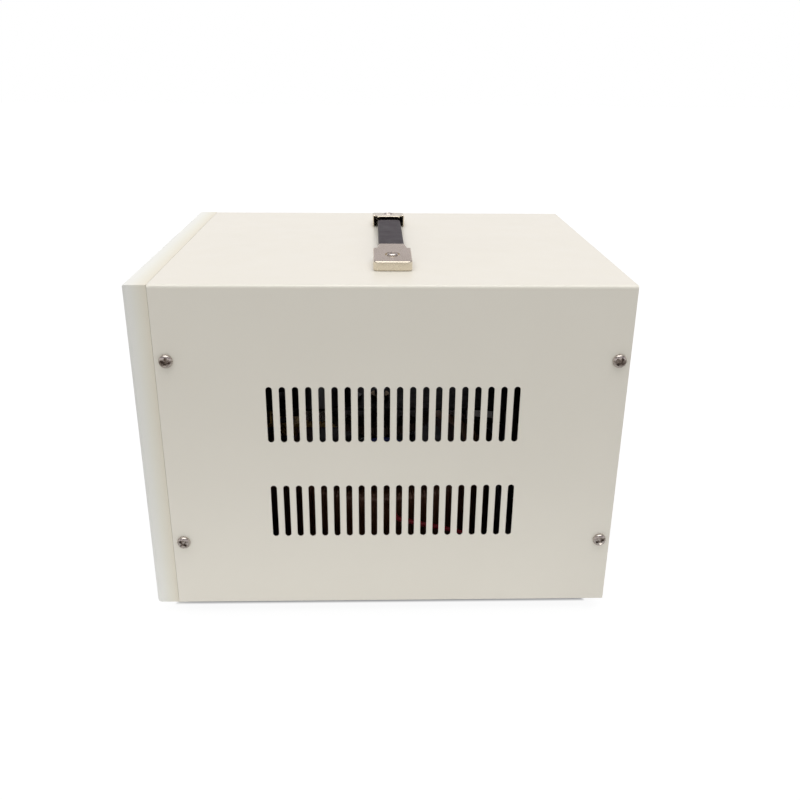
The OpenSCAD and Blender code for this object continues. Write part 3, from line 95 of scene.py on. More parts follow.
def make_camera():
    look = Vector((-math.cos(YAW) * math.cos(PITCH), -math.sin(YAW) * math.cos(PITCH), -math.sin(PITCH)))
    right = look.cross(Vector((0, 0, 1))).normalized()
    up = right.cross(look)
    turned_right = right * math.cos(ROLL) + up * math.sin(ROLL)
    turned_up = up * math.cos(ROLL) - right * math.sin(ROLL)
    data = bpy.data.cameras.new("camera")
    data.sensor_width = SENSOR_MM
    data.lens = LENS_MM
    data.shift_x = SHIFT_X
    data.shift_y = SHIFT_Y
    data.clip_start = 0.01
    data.clip_end = 50
    cam = bpy.data.objects.new("camera", data)
    scene.collection.objects.link(cam)
    axes = Matrix((turned_right, turned_up, -look)).transposed()
    cam.matrix_world = Matrix.Translation(CAMERA_AT) @ axes.to_4x4()
    scene.camera = cam


make_camera()


# Wires, along the routes that the CAD model gives them

WIRE_D = 0.0032
WIRE_LEAD = Vector((0, 0.008, 0))
WIRE_STEPS = 6
RED_FROM, RED_TO = Vector((0.02004, 0.138901, 0.047975)), Vector((0.06702, -0.095899, 0.0613))
BLUE_FROM, BLUE_TO = Vector((0.00668, 0.138901, 0.047975)), Vector((0.0488, -0.104299, 0.12035))
# Points on the way, as shares of the way out to the side, of the case's length and of its height
RED_SHARES = ((0.62, 0.43, 0.15), (0.89, 0.37, 0.13), (0.98, 0.26, 0.145), (0.98, 0.17, 0.192),
              (0.98, 0.07, 0.226), (0.98, 0.033, 0.245), (0.98, 0.0255, 0.30), (0.98, 0.024, 0.36),
              (0.975, -0.005, 0.405), (0.96, -0.08, 0.40), (0.93, -0.20, 0.40), (0.84, -0.288, 0.345))
BLUE_SHARES = ((0.35, 0.44, 0.25), (0.79, 0.38, 0.31), (0.965, 0.25, 0.38), (0.97, 0.11, 0.45),
               (0.97, 0.002, 0.506), (0.958, -0.11, 0.45), (0.86, -0.25, 0.46))


def smooth_path(route, steps):
    """Points of the smooth curve that passes through all the route's points."""
    path = []
    last = len(route) - 1
    for i in range(last):
        a, b, c, d = route[max(i - 1, 0)], route[i], route[i + 1], route[min(i + 2, last)]
        for k in range(steps):
            t = k / steps
            path.append((2 * b + (c - a) * t + (2 * a - 5 * b + 4 * c - d) * t * t
                         + (3 * b - a - 3 * c + d) * t ** 3) / 2)
    return path + [route[last]]


def wire(colour, start, shares, end):
    """A round insulated wire from the terminals to the front, in place of its CAD node."""
    lane_x = (ring_hi.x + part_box("base_pan")[1].x) / 2
    middle = [Vector((u * lane_x, mid_y + v * case_l, base_z + w * case_h)) for u, v, w in shares]
    path = smooth_path([start, start - WIRE_LEAD] + middle + [end + WIRE_LEAD, end], WIRE_STEPS)
    data = bpy.data.curves.new("wire_" + colour, "CURVE")
    data.dimensions = "3D"
    data.bevel_depth = 1
    data.bevel_resolution = 4
    data.use_fill_caps = True
    line = data.splines.new("POLY")
    line.points.add(len(path) - 1)
    for spot, point in zip(line.points, path):
        spot.co = (*point, 1)
        # A point's radius also widens the curve's box, so the bevel is of one metre
        # and the radius brings it down to the wire's
        spot.radius = WIRE_D / 2
    obj = bpy.data.objects.new("insulated_wire_" + colour, data)
    scene.collection.objects.link(obj)
    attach(obj, "case")
    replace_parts(obj, "wire_" + colour)
    return obj


wires = {
    "wire_red": wire("red", RED_FROM, RED_SHARES, RED_TO),
    "wire_blue": wire("blue", BLUE_FROM, BLUE_SHARES, BLUE_TO),
}


# Node trees

# The part of a noise's range that most of its values are in
NOISE_LOW, NOISE_HIGH = 0.3, 0.7
WHITE = (1, 1, 1)


class Tree:
    """A node tree with short ways to add to it. A value is a number, a colour or another node's output."""

    def __init__(self, owner):
        owner.use_nodes = True
        self.nodes = owner.node_tree.nodes
        self.links = owner.node_tree.links

    def feed(self, socket, value):
        if isinstance(value, tuple):
            socket.default_value = (*value, 1)
        elif isinstance(value, (int, float)):
            socket.default_value = value
        else:
            self.links.new(value, socket)

    def place(self):
        """The point on the object, in metres, as the texture coordinate of every material."""
        return self.nodes.new("ShaderNodeTexCoord").outputs["Object"]

    def axes(self, at):
        """The three coordinates of a point, by their names."""
        node = self.nodes.new("ShaderNodeSeparateXYZ")
        self.links.new(at, node.inputs["Vector"])
        return node.outputs

    def mapped(self, at, location=(0, 0, 0), rotation=(0, 0, 0), scale=(1, 1, 1)):
        node = self.nodes.new("ShaderNodeMapping")
        node.inputs["Location"].default_value = location
        node.inputs["Rotation"].default_value = rotation
        node.inputs["Scale"].default_value = scale
        self.links.new(at, node.inputs["Vector"])
        return node.outputs["Vector"]

    def length(self, at):
        node = self.nodes.new("ShaderNodeVectorMath")
        node.operation = "LENGTH"
        self.links.new(at, node.inputs[0])
        return node.outputs["Value"]

    def maths(self, operation, *values):
        node = self.nodes.new("ShaderNodeMath")
        node.operation = operation
        for socket, value in zip(node.inputs, values):
            self.feed(socket, value)
        return node.outputs["Value"]

    def noise(self, at, scale, detail):
        node = self.nodes.new("ShaderNodeTexNoise")
        node.inputs["Scale"].default_value = scale
        node.inputs["Detail"].default_value = detail
        node.inputs["Roughness"].default_value = 0.5
        self.links.new(at, node.inputs["Vector"])
        return node.outputs["Fac"]

    def cells(self, at, scale, feature="F1"):
        """The distance from the middle, or from the edge, of the nearest cell."""
        node = self.nodes.new("ShaderNodeTexVoronoi")
        node.feature = feature
        node.inputs["Scale"].default_value = scale
        self.links.new(at, node.inputs["Vector"])
        return node.outputs["Distance"]

    def ramp(self, value, stops):
        """A colour that goes through the (position, colour) stops."""
        node = self.nodes.new("ShaderNodeValToRGB")
        elements = node.color_ramp.elements
        while len(elements) < len(stops):
            elements.new(0.5)
        for element, (position, colour) in zip(elements, stops):
            element.position = position
            element.color = (*colour, 1)
        self.links.new(value, node.inputs["Fac"])
        return node.outputs["Color"]

    def remap(self, value, a, b, low, high):
        """A number that goes from a to b while the value goes from low to high."""
        node = self.nodes.new("ShaderNodeMapRange")
        node.inputs["From Min"].default_value = low
        node.inputs["From Max"].default_value = high
        node.inputs["To Min"].default_value = a
        node.inputs["To Max"].default_value = b
        self.links.new(value, node.inputs["Value"])
        return node.outputs["Result"]

    def tones(self, drift, dark, light):
        return self.ramp(drift, [(NOISE_LOW, dark), (NOISE_HIGH, light)])

    def uneven(self, drift, a, b):
        return self.remap(drift, a, b, NOISE_LOW, NOISE_HIGH)

    def mix(self, factor, a, b, mode="MIX"):
        node = self.nodes.new("ShaderNodeMix")
        node.data_type = "RGBA"
        node.blend_type = mode
        # The colour sockets of this node come after those for numbers and vectors
        for socket, value in ((node.inputs["Factor"], factor), (node.inputs[6], a), (node.inputs[7], b)):
            self.feed(socket, value)
        return node.outputs[2]

    def bump(self, height, strength, distance, under=None):
        node = self.nodes.new("ShaderNodeBump")
        node.inputs["Strength"].default_value = strength
        node.inputs["Distance"].default_value = distance
        self.links.new(height, node.inputs["Height"])
        if under is not None:
            self.links.new(under, node.inputs["Normal"])
        return node.outputs["Normal"]

    def ray(self):
        """What kind of ray looks at the point, by the names of the node's outputs."""
        return self.nodes.new("ShaderNodeLightPath").outputs

    def emission(self, colour, strength=1.0):
        node = self.nodes.new("ShaderNodeEmission")
        self.feed(node.inputs["Color"], colour)
        self.feed(node.inputs["Strength"], strength)
        return node.outputs["Emission"]

    def background(self, colour, strength=1.0):
        node = self.nodes.new("ShaderNodeBackground")
        self.feed(node.inputs["Color"], colour)
        self.feed(node.inputs["Strength"], strength)
        return node.outputs["Background"]

    def mix_shaders(self, factor, a, b):
        node = self.nodes.new("ShaderNodeMixShader")
        for socket, value in zip(node.inputs, (factor, a, b)):
            self.feed(socket, value)
        return node.outputs["Shader"]

    def add_shaders(self, a, b):
        node = self.nodes.new("ShaderNodeAddShader")
        self.links.new(a, node.inputs[0])
        self.links.new(b, node.inputs[1])
        return node.outputs["Shader"]


def new_material(name):
    """A material, its node tree, and the inputs of its shader."""
    mat = bpy.data.materials.new(name)
    tree = Tree(mat)
    return mat, tree, tree.nodes["Principled BSDF"].inputs


def surface(name, dark, light, rough, grain=900, grain_h=0.00004, cloud=14, metal=0.0, spec=0.5,
            coat=0.0, stretch=None, strength=0.35):
    """A general finish: a slow drift between two near colours, uneven roughness, and a fine grain in the normal."""
    mat, tree, skin = new_material(name)
    at = tree.place()
    if stretch:
        at = tree.mapped(at, scale=stretch)
    tree.feed(skin["Base Color"], tree.tones(tree.noise(at, cloud, 4), dark, light))
    tree.feed(skin["Roughness"], tree.uneven(tree.noise(at, cloud * 6, 3), *rough))
    tree.feed(skin["Normal"], tree.bump(tree.noise(at, grain, 2), strength, grain_h))
    skin["Metallic"].default_value = metal
    skin["Specular IOR Level"].default_value = spec
    if coat:
        skin["Coat Weight"].default_value = coat
        skin["Coat Roughness"].default_value = 0.08
    return mat


# Materials: first those of the general finish, each with its two colours and its range of roughness

FINISHES = {
    "zinc_steel": ((0.36, 0.37, 0.38), (0.50, 0.51, 0.52), (0.30, 0.48), dict(grain=500, metal=0.9, cloud=40)),
    # Black oxide, kept this dark also as painted shade for the dim inside of the case
    "black_steel": ((0.014, 0.014, 0.014), (0.024, 0.024, 0.024), (0.5, 0.65), dict(grain=1500, cloud=40, spec=0.3)),
    "nickel": ((0.50, 0.45, 0.41), (0.60, 0.55, 0.51), (0.22, 0.34),
               dict(grain=2500, metal=1.0, cloud=300, strength=0.15)),
    "cap_nickel": ((0.68, 0.615, 0.50), (0.74, 0.675, 0.555), (0.20, 0.30),
                   dict(grain=1500, grain_h=0.000003, metal=1.0, cloud=60, strength=0.05)),
    "dial_print": ((0.010, 0.010, 0.011), (0.018, 0.018, 0.019), (0.5, 0.62), dict(cloud=300)),
    "foot_rubber": ((0.018, 0.018, 0.018), (0.035, 0.035, 0.036), (0.6, 0.8), dict(cloud=80)),
    "spring_steel": ((0.42, 0.43, 0.45), (0.55, 0.56, 0.58), (0.25, 0.4),
                     dict(metal=1.0, cloud=90, stretch=(0.1, 1, 1))),
    "black_plastic": ((0.016, 0.016, 0.018), (0.030, 0.030, 0.033), (0.32, 0.48), dict(grain=2200, cloud=60)),
    "dial_white": ((0.80, 0.80, 0.76), (0.84, 0.84, 0.80), (0.55, 0.65), dict(cloud=50)),
    "needle_red": ((0.55, 0.035, 0.025), (0.65, 0.05, 0.035), (0.35, 0.45), dict(cloud=200)),
    "breaker_white": ((0.74, 0.74, 0.71), (0.79, 0.79, 0.76), (0.35, 0.48), dict(grain=2500)),
    "button_red": ((0.42, 0.015, 0.012), (0.52, 0.022, 0.016), (0.22, 0.34), dict(coat=0.3)),
    "terminal_brass": ((0.66, 0.52, 0.26), (0.78, 0.64, 0.36), (0.2, 0.34), dict(metal=1.0, cloud=200)),
    "core_steel": ((0.16, 0.17, 0.18), (0.24, 0.25, 0.26), (0.4, 0.55), dict(metal=0.7)),
    "pad_board": ((0.13, 0.10, 0.07), (0.19, 0.15, 0.10), (0.6, 0.8), dict(cloud=70)),
    "disc_moulding": ((0.022, 0.020, 0.020), (0.04, 0.036, 0.034), (0.4, 0.55), dict()),
    "bush_brass": ((0.30, 0.21, 0.11), (0.38, 0.28, 0.15), (0.3, 0.45), dict(metal=1.0, cloud=150)),
    "shaft_steel": ((0.55, 0.55, 0.56), (0.68, 0.68, 0.69), (0.16, 0.28), dict(metal=1.0, cloud=150)),
    "arm_brass": ((0.58, 0.42, 0.18), (0.70, 0.53, 0.25), (0.24, 0.38), dict(metal=1.0, cloud=80)),
    "carbon": ((0.012, 0.012, 0.013), (0.026, 0.026, 0.028), (0.4, 0.6), dict(grain=3000, cloud=400)),
    # Nylon darkened to brown-black as painted shade for the dim inside of the case
    "gear_nylon": ((0.075, 0.052, 0.040), (0.105, 0.074, 0.056), (0.40, 0.55), dict(grain=1600, spec=0.3)),
    # Steel darkened as painted shade for the dim inside of the case
    "motor_steel": ((0.14, 0.14, 0.15), (0.20, 0.20, 0.21), (0.35, 0.5),
                    dict(metal=1.0, stretch=(1, 1, 0.1), cloud=160)),
    "gear_steel": ((0.48, 0.47, 0.45), (0.62, 0.61, 0.58), (0.22, 0.36), dict(metal=1.0, cloud=150)),
    "component_blue": ((0.03, 0.06, 0.14), (0.05, 0.09, 0.20), (0.3, 0.42), dict(cloud=60)),
    "wire_red": ((0.30, 0.012, 0.022), (0.40, 0.018, 0.03), (0.3, 0.42), dict(grain=2500)),
    "wire_blue": ((0.022, 0.03, 0.16), (0.035, 0.05, 0.24), (0.3, 0.42), dict(grain=2500)),
}
MATS = {name: surface(name, dark, light, rough, **rest) for name, (dark, light, rough, rest) in FINISHES.items()}


def case_paint():
    """Cream powder coat with a fine orange peel outside. The inside faces and the slots' cut edges are dark grey, as
    painted shade.
    """
    mat, tree, skin = new_material("case_paint")
    at = tree.place()
    cream = tree.tones(tree.noise(at, 9, 4), (0.786, 0.749, 0.660), (0.806, 0.768, 0.679))
    # Painted shade: dark grey on the inside faces, standing for the dim inside of the case
    painted_inside_shade = tree.tones(tree.noise(at, 60, 4), (0.050, 0.050, 0.046), (0.075, 0.075, 0.069))
    axes = tree.axes(at)
    # Only the outermost part of the sheet's thickness is cream, so the slots' cut edges also take the painted shade
    outer = tree.remap(tree.maths("ABSOLUTE", axes["X"]), 0, 1, half_w - 0.0005, half_w - 0.0003)
    for mask in (tree.remap(axes["Z"], 0, 1, top_z - 0.0010, top_z - 0.0008),
                 tree.remap(axes["Y"], 0, 1, cover_hi.y - 0.0021, cover_hi.y - 0.0019),
                 tree.remap(axes["Y"], 1, 0, cover_lo.y + 0.0010, cover_lo.y + 0.0012)):
        outer = tree.maths("MAXIMUM", outer, mask)
    tree.feed(skin["Base Color"], tree.mix(outer, painted_inside_shade, cream))
    tree.feed(skin["Roughness"], tree.uneven(tree.noise(at, 55, 3), 0.34, 0.46))
    peel = tree.bump(tree.noise(at, 420, 2), 0.12, 0.00006)
    tree.feed(skin["Normal"], tree.bump(tree.noise(at, 1500, 2), 0.3, 0.00005, peel))
    skin["Specular IOR Level"].default_value = 0.5
    skin["Coat Weight"].default_value = 0.25
    skin["Coat Roughness"].default_value = 0.2
    return mat


def bezel_plastic():
    """Off-white moulding with a fine spark-eroded texture. Its colour goes from a painted cool reflection in front
    to painted warm shade towards the seam.
    """
    mat, tree, skin = new_material("bezel_plastic")
    at = tree.place()
    drift = tree.tones(tree.noise(at, 12, 3), (0.98, 0.98, 0.975), WHITE)
    # Painted light: the cool grey in front stands for the reflection on the rounded front edge, and the warm tan
    # towards the seam stands for shade and for light bounced off the cream cover
    depth = tree.remap(tree.axes(at)["Y"], 0, 1, bezel_lo.y, bezel_hi.y)
    tone = tree.ramp(depth, [(0.0, (0.82, 0.815, 0.785)), (0.35, (0.815, 0.808, 0.750)),
                             (0.62, (0.80, 0.778, 0.688)), (1.0, (0.765, 0.713, 0.595))])
    tree.feed(skin["Base Color"], tree.mix(1.0, tone, drift, "MULTIPLY"))
    tree.feed(skin["Roughness"], tree.uneven(tree.noise(at, 60, 3), 0.40, 0.52))
    tree.feed(skin["Normal"], tree.bump(tree.noise(at, 2600, 2), 0.3, 0.00004))
    return mat


def grip_vinyl():
    """Dark grey-violet vinyl with a leather grain: cells for the creases and a finer noise between them."""
    mat, tree, skin = new_material("grip_vinyl")
    at = tree.place()
    crease = tree.remap(tree.cells(at, 1100, "DISTANCE_TO_EDGE"), 0, 1, 0.0, 0.12)
    drift = tree.noise(at, 90, 4)
    tone = tree.tones(drift, (0.034, 0.028, 0.033), (0.046, 0.038, 0.044))
    tree.feed(skin["Base Color"], tree.mix(crease, (0.022, 0.018, 0.021), tone))
    tree.feed(skin["Roughness"], tree.uneven(drift, 0.42, 0.58))
    fine = tree.bump(tree.noise(at, 4200, 2), 0.3, 0.00003)
    tree.feed(skin["Normal"], tree.bump(crease, 0.35, 0.00006, fine))
    skin["Specular IOR Level"].default_value = 0.18
    return mat


def lens(name, deep, bright):
    """A coloured lamp lens with moulded prisms behind its face."""
    mat, tree, skin = new_material(name)
    prisms = tree.cells(tree.place(), 900)
    tree.feed(skin["Base Color"], tree.ramp(prisms, [(0.1, bright), (0.8, deep)]))
    tree.feed(skin["Normal"], tree.bump(prisms, 0.5, 0.0002))
    skin["Roughness"].default_value = 0.16
    skin["Coat Weight"].default_value = 1.0
    skin["Coat Roughness"].default_value = 0.04
    return mat


def clear(name, tint, rough, solid):
    """Clear moulded plastic with faint haze and fine scratches.

    Light goes straight through the share of it that isn't solid."""
    mat, tree, skin = new_material(name)
    at = tree.place()
    scratches = tree.noise(tree.mapped(at, scale=(1, 1, 0.04)), 2500, 2)
    tree.feed(skin["Roughness"], tree.remap(scratches, rough, rough + 0.12, 0.55, 0.75))
    paler = tuple(min(1, c * 1.03) for c in tint)
    tree.feed(skin["Base Color"], tree.tones(tree.noise(at, 30, 2), tint, paler))
    skin["Transmission Weight"].default_value = 1.0
    skin["IOR"].default_value = 1.45
    skin["Alpha"].default_value = solid
    return mat


def enamelled_copper():
    """Enamelled copper wire: brown-red with darker varnish, and bright where the brush runs on its sanded track."""
    mat, tree, skin = new_material("enamelled_copper")
    at = tree.place()
    drift = tree.noise(at, 70, 4)
    tone = tree.tones(drift, (0.105, 0.042, 0.022), (0.180, 0.078, 0.040))
    radius = tree.length(tree.mapped(at, location=(0, -mid_y, 0), scale=(1, 1, 0)))
    inner = tree.remap(radius, 0, 1, 0.0615, 0.0630)
    outer = tree.remap(radius, 1, 0, 0.0730, 0.0745)
    top = tree.remap(tree.axes(at)["Z"], 0, 1, ring_hi.z - 0.0009, ring_hi.z - 0.0003)
    track = tree.maths("MULTIPLY", tree.maths("MULTIPLY", inner, outer), top)
    tree.feed(skin["Base Color"], tree.mix(track, tone, (0.62, 0.33, 0.18)))
    tree.feed(skin["Roughness"], tree.uneven(drift, 0.28, 0.45))
    tree.feed(skin["Normal"], tree.bump(tree.noise(at, 800, 3), 0.3, 0.0001))
    skin["Metallic"].default_value = 0.35
    skin["Coat Weight"].default_value = 0.5
    skin["Coat Roughness"].default_value = 0.2
    return mat


def board_green():
    """Solder-masked board: green with lighter tracks in a fine right-angled pattern."""
    mat, tree, skin = new_material("board_green")
    at = tree.place()
    tracks = tree.nodes.new("ShaderNodeTexBrick")
    tracks.inputs["Scale"].default_value = 120
    tracks.inputs["Mortar Size"].default_value = 0.06
    tracks.inputs["Color1"].default_value = (0.010, 0.085, 0.035, 1)
    tracks.inputs["Color2"].default_value = (0.014, 0.100, 0.042, 1)
    tracks.inputs["Mortar"].default_value = (0.030, 0.170, 0.075, 1)
    tree.feed(tracks.inputs["Vector"], tree.mapped(at, rotation=(math.radians(90), 0, 0)))
    tree.feed(skin["Base Color"], tracks.outputs["Color"])
    tree.feed(skin["Roughness"], tree.uneven(tree.noise(at, 100, 2), 0.25, 0.4))
    tree.feed(skin["Normal"], tree.bump(tracks.outputs["Fac"], 0.3, 0.00005))
    return mat


MATS["case_paint"] = case_paint()
MATS["bezel_plastic"] = bezel_plastic()
MATS["grip_vinyl"] = grip_vinyl()
for name, deep, bright in (("lens_green", (0.01, 0.12, 0.03), (0.03, 0.36, 0.09)),
                           ("lens_yellow", (0.42, 0.20, 0.01), (0.80, 0.44, 0.03)),
                           ("lens_red", (0.20, 0.008, 0.006), (0.56, 0.02, 0.015))):
    MATS[name] = lens(name, deep, bright)
MATS["clear_window"] = clear("clear_window", (0.93, 0.95, 0.95), 0.02, 0.3)
MATS["clear_flap"] = clear("clear_flap", (0.90, 0.93, 0.94), 0.05, 0.6)
MATS["enamelled_copper"] = enamelled_copper()
MATS["board_green"] = board_green()

# The record's cap_chrome is a warm nickel in the photo
SLOTS = {part["node"]: part["material_slot"] for part in frame["record"]["subparts"]}
LOOKS = {slot: MATS.get("cap_nickel" if slot == "cap_chrome" else slot) for slot in set(SLOTS.values())}


# Pieces and how they are finished

def add(name, mesh):
    obj = bpy.data.objects.new(name, mesh)
    scene.collection.objects.link(obj)
    return obj


def as_mesh(bm, name):
    """A bmesh as a new mesh; the bmesh is used up."""
    mesh = bpy.data.meshes.new(name)
    bm.to_mesh(mesh)
    bm.free()
    return mesh


def welded(mesh, gap):
    """A mesh as a bmesh, with the points that are closer than the gap joined."""
    bm = bmesh.new()
    bm.from_mesh(mesh)
    bmesh.ops.remove_doubles(bm, verts=bm.verts, dist=gap)
    return bm


def shade(bm, angle):
    """Shades the faces smooth, but for the edges between them that are at least as sharp as the angle."""
    for face in bm.faces:
        face.smooth = True
    for edge in bm.edges:
        edge.smooth = len(edge.link_faces) != 2 or edge.calc_face_angle(0) < math.radians(angle)


def settle(obj):
    """Applies an object's modifiers, so that the mesh is final."""
    bpy.context.view_layer.update()
    graph = bpy.context.evaluated_depsgraph_get()
    mesh = bpy.data.meshes.new_from_object(obj.evaluated_get(graph))
    obj.modifiers.clear()
    obj.data = mesh
    return obj


def carry(obj, body, slot, mat, *nodes):
    obj.data.materials.clear()
    obj.data.materials.append(mat)
    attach(obj, body)
    if nodes:
        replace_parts(obj, *nodes)
    return obj


def stand_in(obj, node):
    """Puts an object in the place of a CAD node, on its body and with its finish."""
    return carry(obj, frame["nodes"][node]["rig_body"], SLOTS[node], LOOKS[SLOTS[node]], node)


def dressed(node, width=0.0003, segments=2, angle=30, leave=None):
    """A copy of a CAD node in its place, with the edges that are sharper than the angle rounded.

    Where leave(middle of the edge) is true, the edge stays sharp."""
    mesh = frame["nodes"][node].data.copy()
    bm = welded(mesh, 0.000004)
    bmesh.ops.dissolve_limit(bm, angle_limit=math.radians(0.6), verts=bm.verts, edges=bm.edges)
    sharp = [e for e in bm.edges if len(e.link_faces) == 2 and e.calc_face_angle(0) > math.radians(angle)]
    if leave:
        sharp = [e for e in sharp if not leave((e.verts[0].co + e.verts[1].co) / 2)]
    bmesh.ops.bevel(bm, geom=sharp, offset=width, offset_type="OFFSET", segments=segments, profile=0.5,
                    affect="EDGES", clamp_overlap=False, miter_outer="ARC")
    shade(bm, angle + 8)
    bm.to_mesh(mesh)
    bm.free()
    obj = add(node + "_dressed", mesh)
    obj.modifiers.new("normals", "WEIGHTED_NORMAL").keep_sharp = True
    return stand_in(settle(obj), node)


def islands(node):
    """The lowest and highest corner of each separate solid of a node."""
    bm = welded(frame["nodes"][node].data, 0.000002)
    boxes, seen = [], set()
    for first in bm.verts:
        if first in seen:
            continue
        seen.add(first)
        group, heap = [], [first]
        while heap:
            vert = heap.pop()
            group.append(vert.co.copy())
            for edge in vert.link_edges:
                other = edge.other_vert(vert)
                if other not in seen:
                    seen.add(other)
                    heap.append(other)
        boxes.append((Vector([min(c[k] for c in group) for k in range(3)]),
                      Vector([max(c[k] for c in group) for k in range(3)])))
    bm.free()
    return boxes


def lathe(profile, steps):
    """A mesh turned round Z through (radius, height) points that start and end on the axis."""
    bm = bmesh.new()
    rings = []
    for r, z in profile:
        if r < 1e-7:
            rings.append([bm.verts.new((0, 0, z))])
        else:
            rings.append([bm.verts.new((r * math.cos(math.tau * k / steps), r * math.sin(math.tau * k / steps), z))
                          for k in range(steps)])
    for low, high in zip(rings, rings[1:]):
        for k in range(steps):
            n = (k + 1) % steps
            ring = [low[k % len(low)], low[n % len(low)], high[n % len(high)], high[k % len(high)]]
            bm.faces.new(list(dict.fromkeys(ring)))
    bmesh.ops.recalc_face_normals(bm, faces=bm.faces)
    return bm


def carved(body, cutters):
    """The mesh of a bmesh with others taken out of it."""
    obj = add("body", as_mesh(body, "body"))
    extra = []
    for bm in cutters:
        extra.append(add("cut", as_mesh(bm, "cut")))
        mod = obj.modifiers.new("cut", "BOOLEAN")
        mod.operation = "DIFFERENCE"
        mod.solver = "EXACT"
        mod.object = extra[-1]
    settle(obj)
    mesh = obj.data
    for each in extra + [obj]:
        bpy.data.objects.remove(each)
    return mesh


def screw_mesh(head_r, head_h, shank_r, length):
    """A pan-head screw with a tapered cross recess, its head on Z = 0 and its shank below."""
    profile = [(0, -length), (shank_r * 0.7, -length), (shank_r, -length + shank_r * 0.5), (shank_r, 0),
               (head_r * 0.97, 0), (head_r, head_h * 0.06), (head_r, head_h * 0.22)]
    for k in range(1, 9):
        t = math.radians(90 * k / 9)
        profile.append((head_r * (0.52 + 0.48 * math.cos(t)), head_h * (0.22 + 0.68 * math.sin(t))))
    profile += [(head_r * 0.3, head_h * 0.97), (0, head_h)]
    cutters = []
    for turn in (0, 90):
        bm = bmesh.new()
        bmesh.ops.create_cube(bm, size=1)
        for vert in bm.verts:
            # Each arm of the cross is longer and wider at the top, and its bottom is inside the head
            up = vert.co.z > 0
            vert.co.x *= head_r * (1.56 if up else 0.70)
            vert.co.y *= head_r * (0.46 if up else 0.28)
            vert.co.z = head_h * (1.15 if up else 0.12)
        bmesh.ops.rotate(bm, verts=bm.verts, matrix=Matrix.Rotation(math.radians(turn + 20), 3, "Z"))
        cutters.append(bm)
    mesh = carved(lathe(profile, 40), cutters)
    bm = welded(mesh, 0.000003)
    shade(bm, 38)
    bm.to_mesh(mesh)
    bm.free()
    return mesh


def screws(node, kinds, sink=0.0):
    """Detailed screws in the places of a node's solids, lower than them by sink.

    kinds(low, high) gives a screw's direction, head radius, head height and shank radius."""
    whole = bmesh.new()
    made = {}
    for turn, (low, high) in enumerate(islands(node)):
        out, head_r, head_h, shank_r = kinds(low, high)
        span = abs(out.dot(high - low))
        length = span - sink - head_h
        key = (round(head_r, 6), round(head_h, 6), round(length, 5))
        if key not in made:
            made[key] = screw_mesh(head_r, head_h, shank_r, length)
        head = (low + high) / 2 + out * (span / 2 - sink - head_h)
        aimed = out.to_track_quat("Z", "Y").to_matrix().to_4x4()
        copy = made[key].copy()
        # Each screw ends its turn somewhere else
        copy.transform(Matrix.Translation(head) @ aimed @ Matrix.Rotation(turn * 2.1, 4, "Z"))
        whole.from_mesh(copy)
    return stand_in(add(node + "_detailed", as_mesh(whole, node)), node)


def grid_mesh(name, rings, closed=False):
    """A smooth mesh through rings of points; when closed, the last ring is joined to the first."""
    bm = bmesh.new()
    rings = [[bm.verts.new(p) for p in ring] for ring in rings]
    for a, b in zip(rings, rings[1:] + (rings[:1] if closed else [])):
        for j in range(len(a)):
            k = (j + 1) % len(a)
            bm.faces.new((a[j], a[k], b[k], b[j]))
    bmesh.ops.recalc_face_normals(bm, faces=bm.faces)
    for face in bm.faces:
        face.smooth = True
    return as_mesh(bm, name)


def smoothstep(t):
    t = max(0.0, min(1.0, t))
    return t * t * (3 - 2 * t)


# Every CAD node gets its finish first; most of them are then dressed

for node, obj in frame["nodes"].items():
    obj.data.materials.clear()
    obj.data.materials.append(LOOKS[SLOTS[node]])

for name, obj in wires.items():
    obj.data.materials.append(MATS[name])


# Case

# The band of the moulding that counts as its rim, and how much nearer to the cover it comes
RIM_W, RIM_NEARER = 0.0045, 0.00026
# The radius and height of an M4 pan head, and the radius of its shank
M4_SIZES = (0.004, 0.0026, 0.002)
FEET_SCREWS_TOP = 0.0155

# The two edges of the seam stay sharp and the moulding's rim reaches nearer to the cover, so that it is a hairline
dressed("cover", 0.00018, 2, leave=lambda p: p.y < cover_lo.y + 0.0005)
bezel = dressed("front_bezel", 0.0003, 2, leave=lambda p: p.y > bezel_hi.y - 0.0005)
for vert in bezel.data.vertices:
    rim = abs(vert.co.x) > half_w - RIM_W or vert.co.z > top_z - RIM_W or vert.co.z < bezel_lo.z + RIM_W
    if rim and vert.co.y > bezel_hi.y - 0.00002:
        vert.co.y += RIM_NEARER
dressed("rear_panel", 0.00025, 2)
dressed("base_pan", 0.0003, 2)
dressed("front_frame", 0.0002, 1)
screws("cover_screws", lambda low, high: (Vector((1 if low.x > 0 else -1, 0, 0)), *M4_SIZES))
screws("handle_screws", lambda low, high: (Vector((0, 0, 1)), 0.0033, 0.0014, 0.002), 0.0006)
# The feet's screws have their heads below, the bridge's above
screws("base_screws", lambda low, high: (Vector((0, 0, 1 if high.z < FEET_SCREWS_TOP else -1)), *M4_SIZES))
screws("bezel_screws", lambda low, high: (Vector((0, 1, 0)), 0.0025, 0.0018, 0.00125))
dressed("rubber_feet", 0.0006, 3)
for nut in ("m4_nuts", "m5_nuts"):
    dressed(nut, 0.0002, 2)


# Strap handle

STRAP_ROUND = 0.0013
STRAP_CROWN = 0.00022
STRAP_ARCH = 0.0005
STRAP_RISE = 0.0018
STRAP_LEAN = 1.8
STRAP_RINGS = 44
# How far the strap runs into its cap, and the length over which it rises and leans
STRAP_IN, STRAP_BEND = 0.0175, 0.014


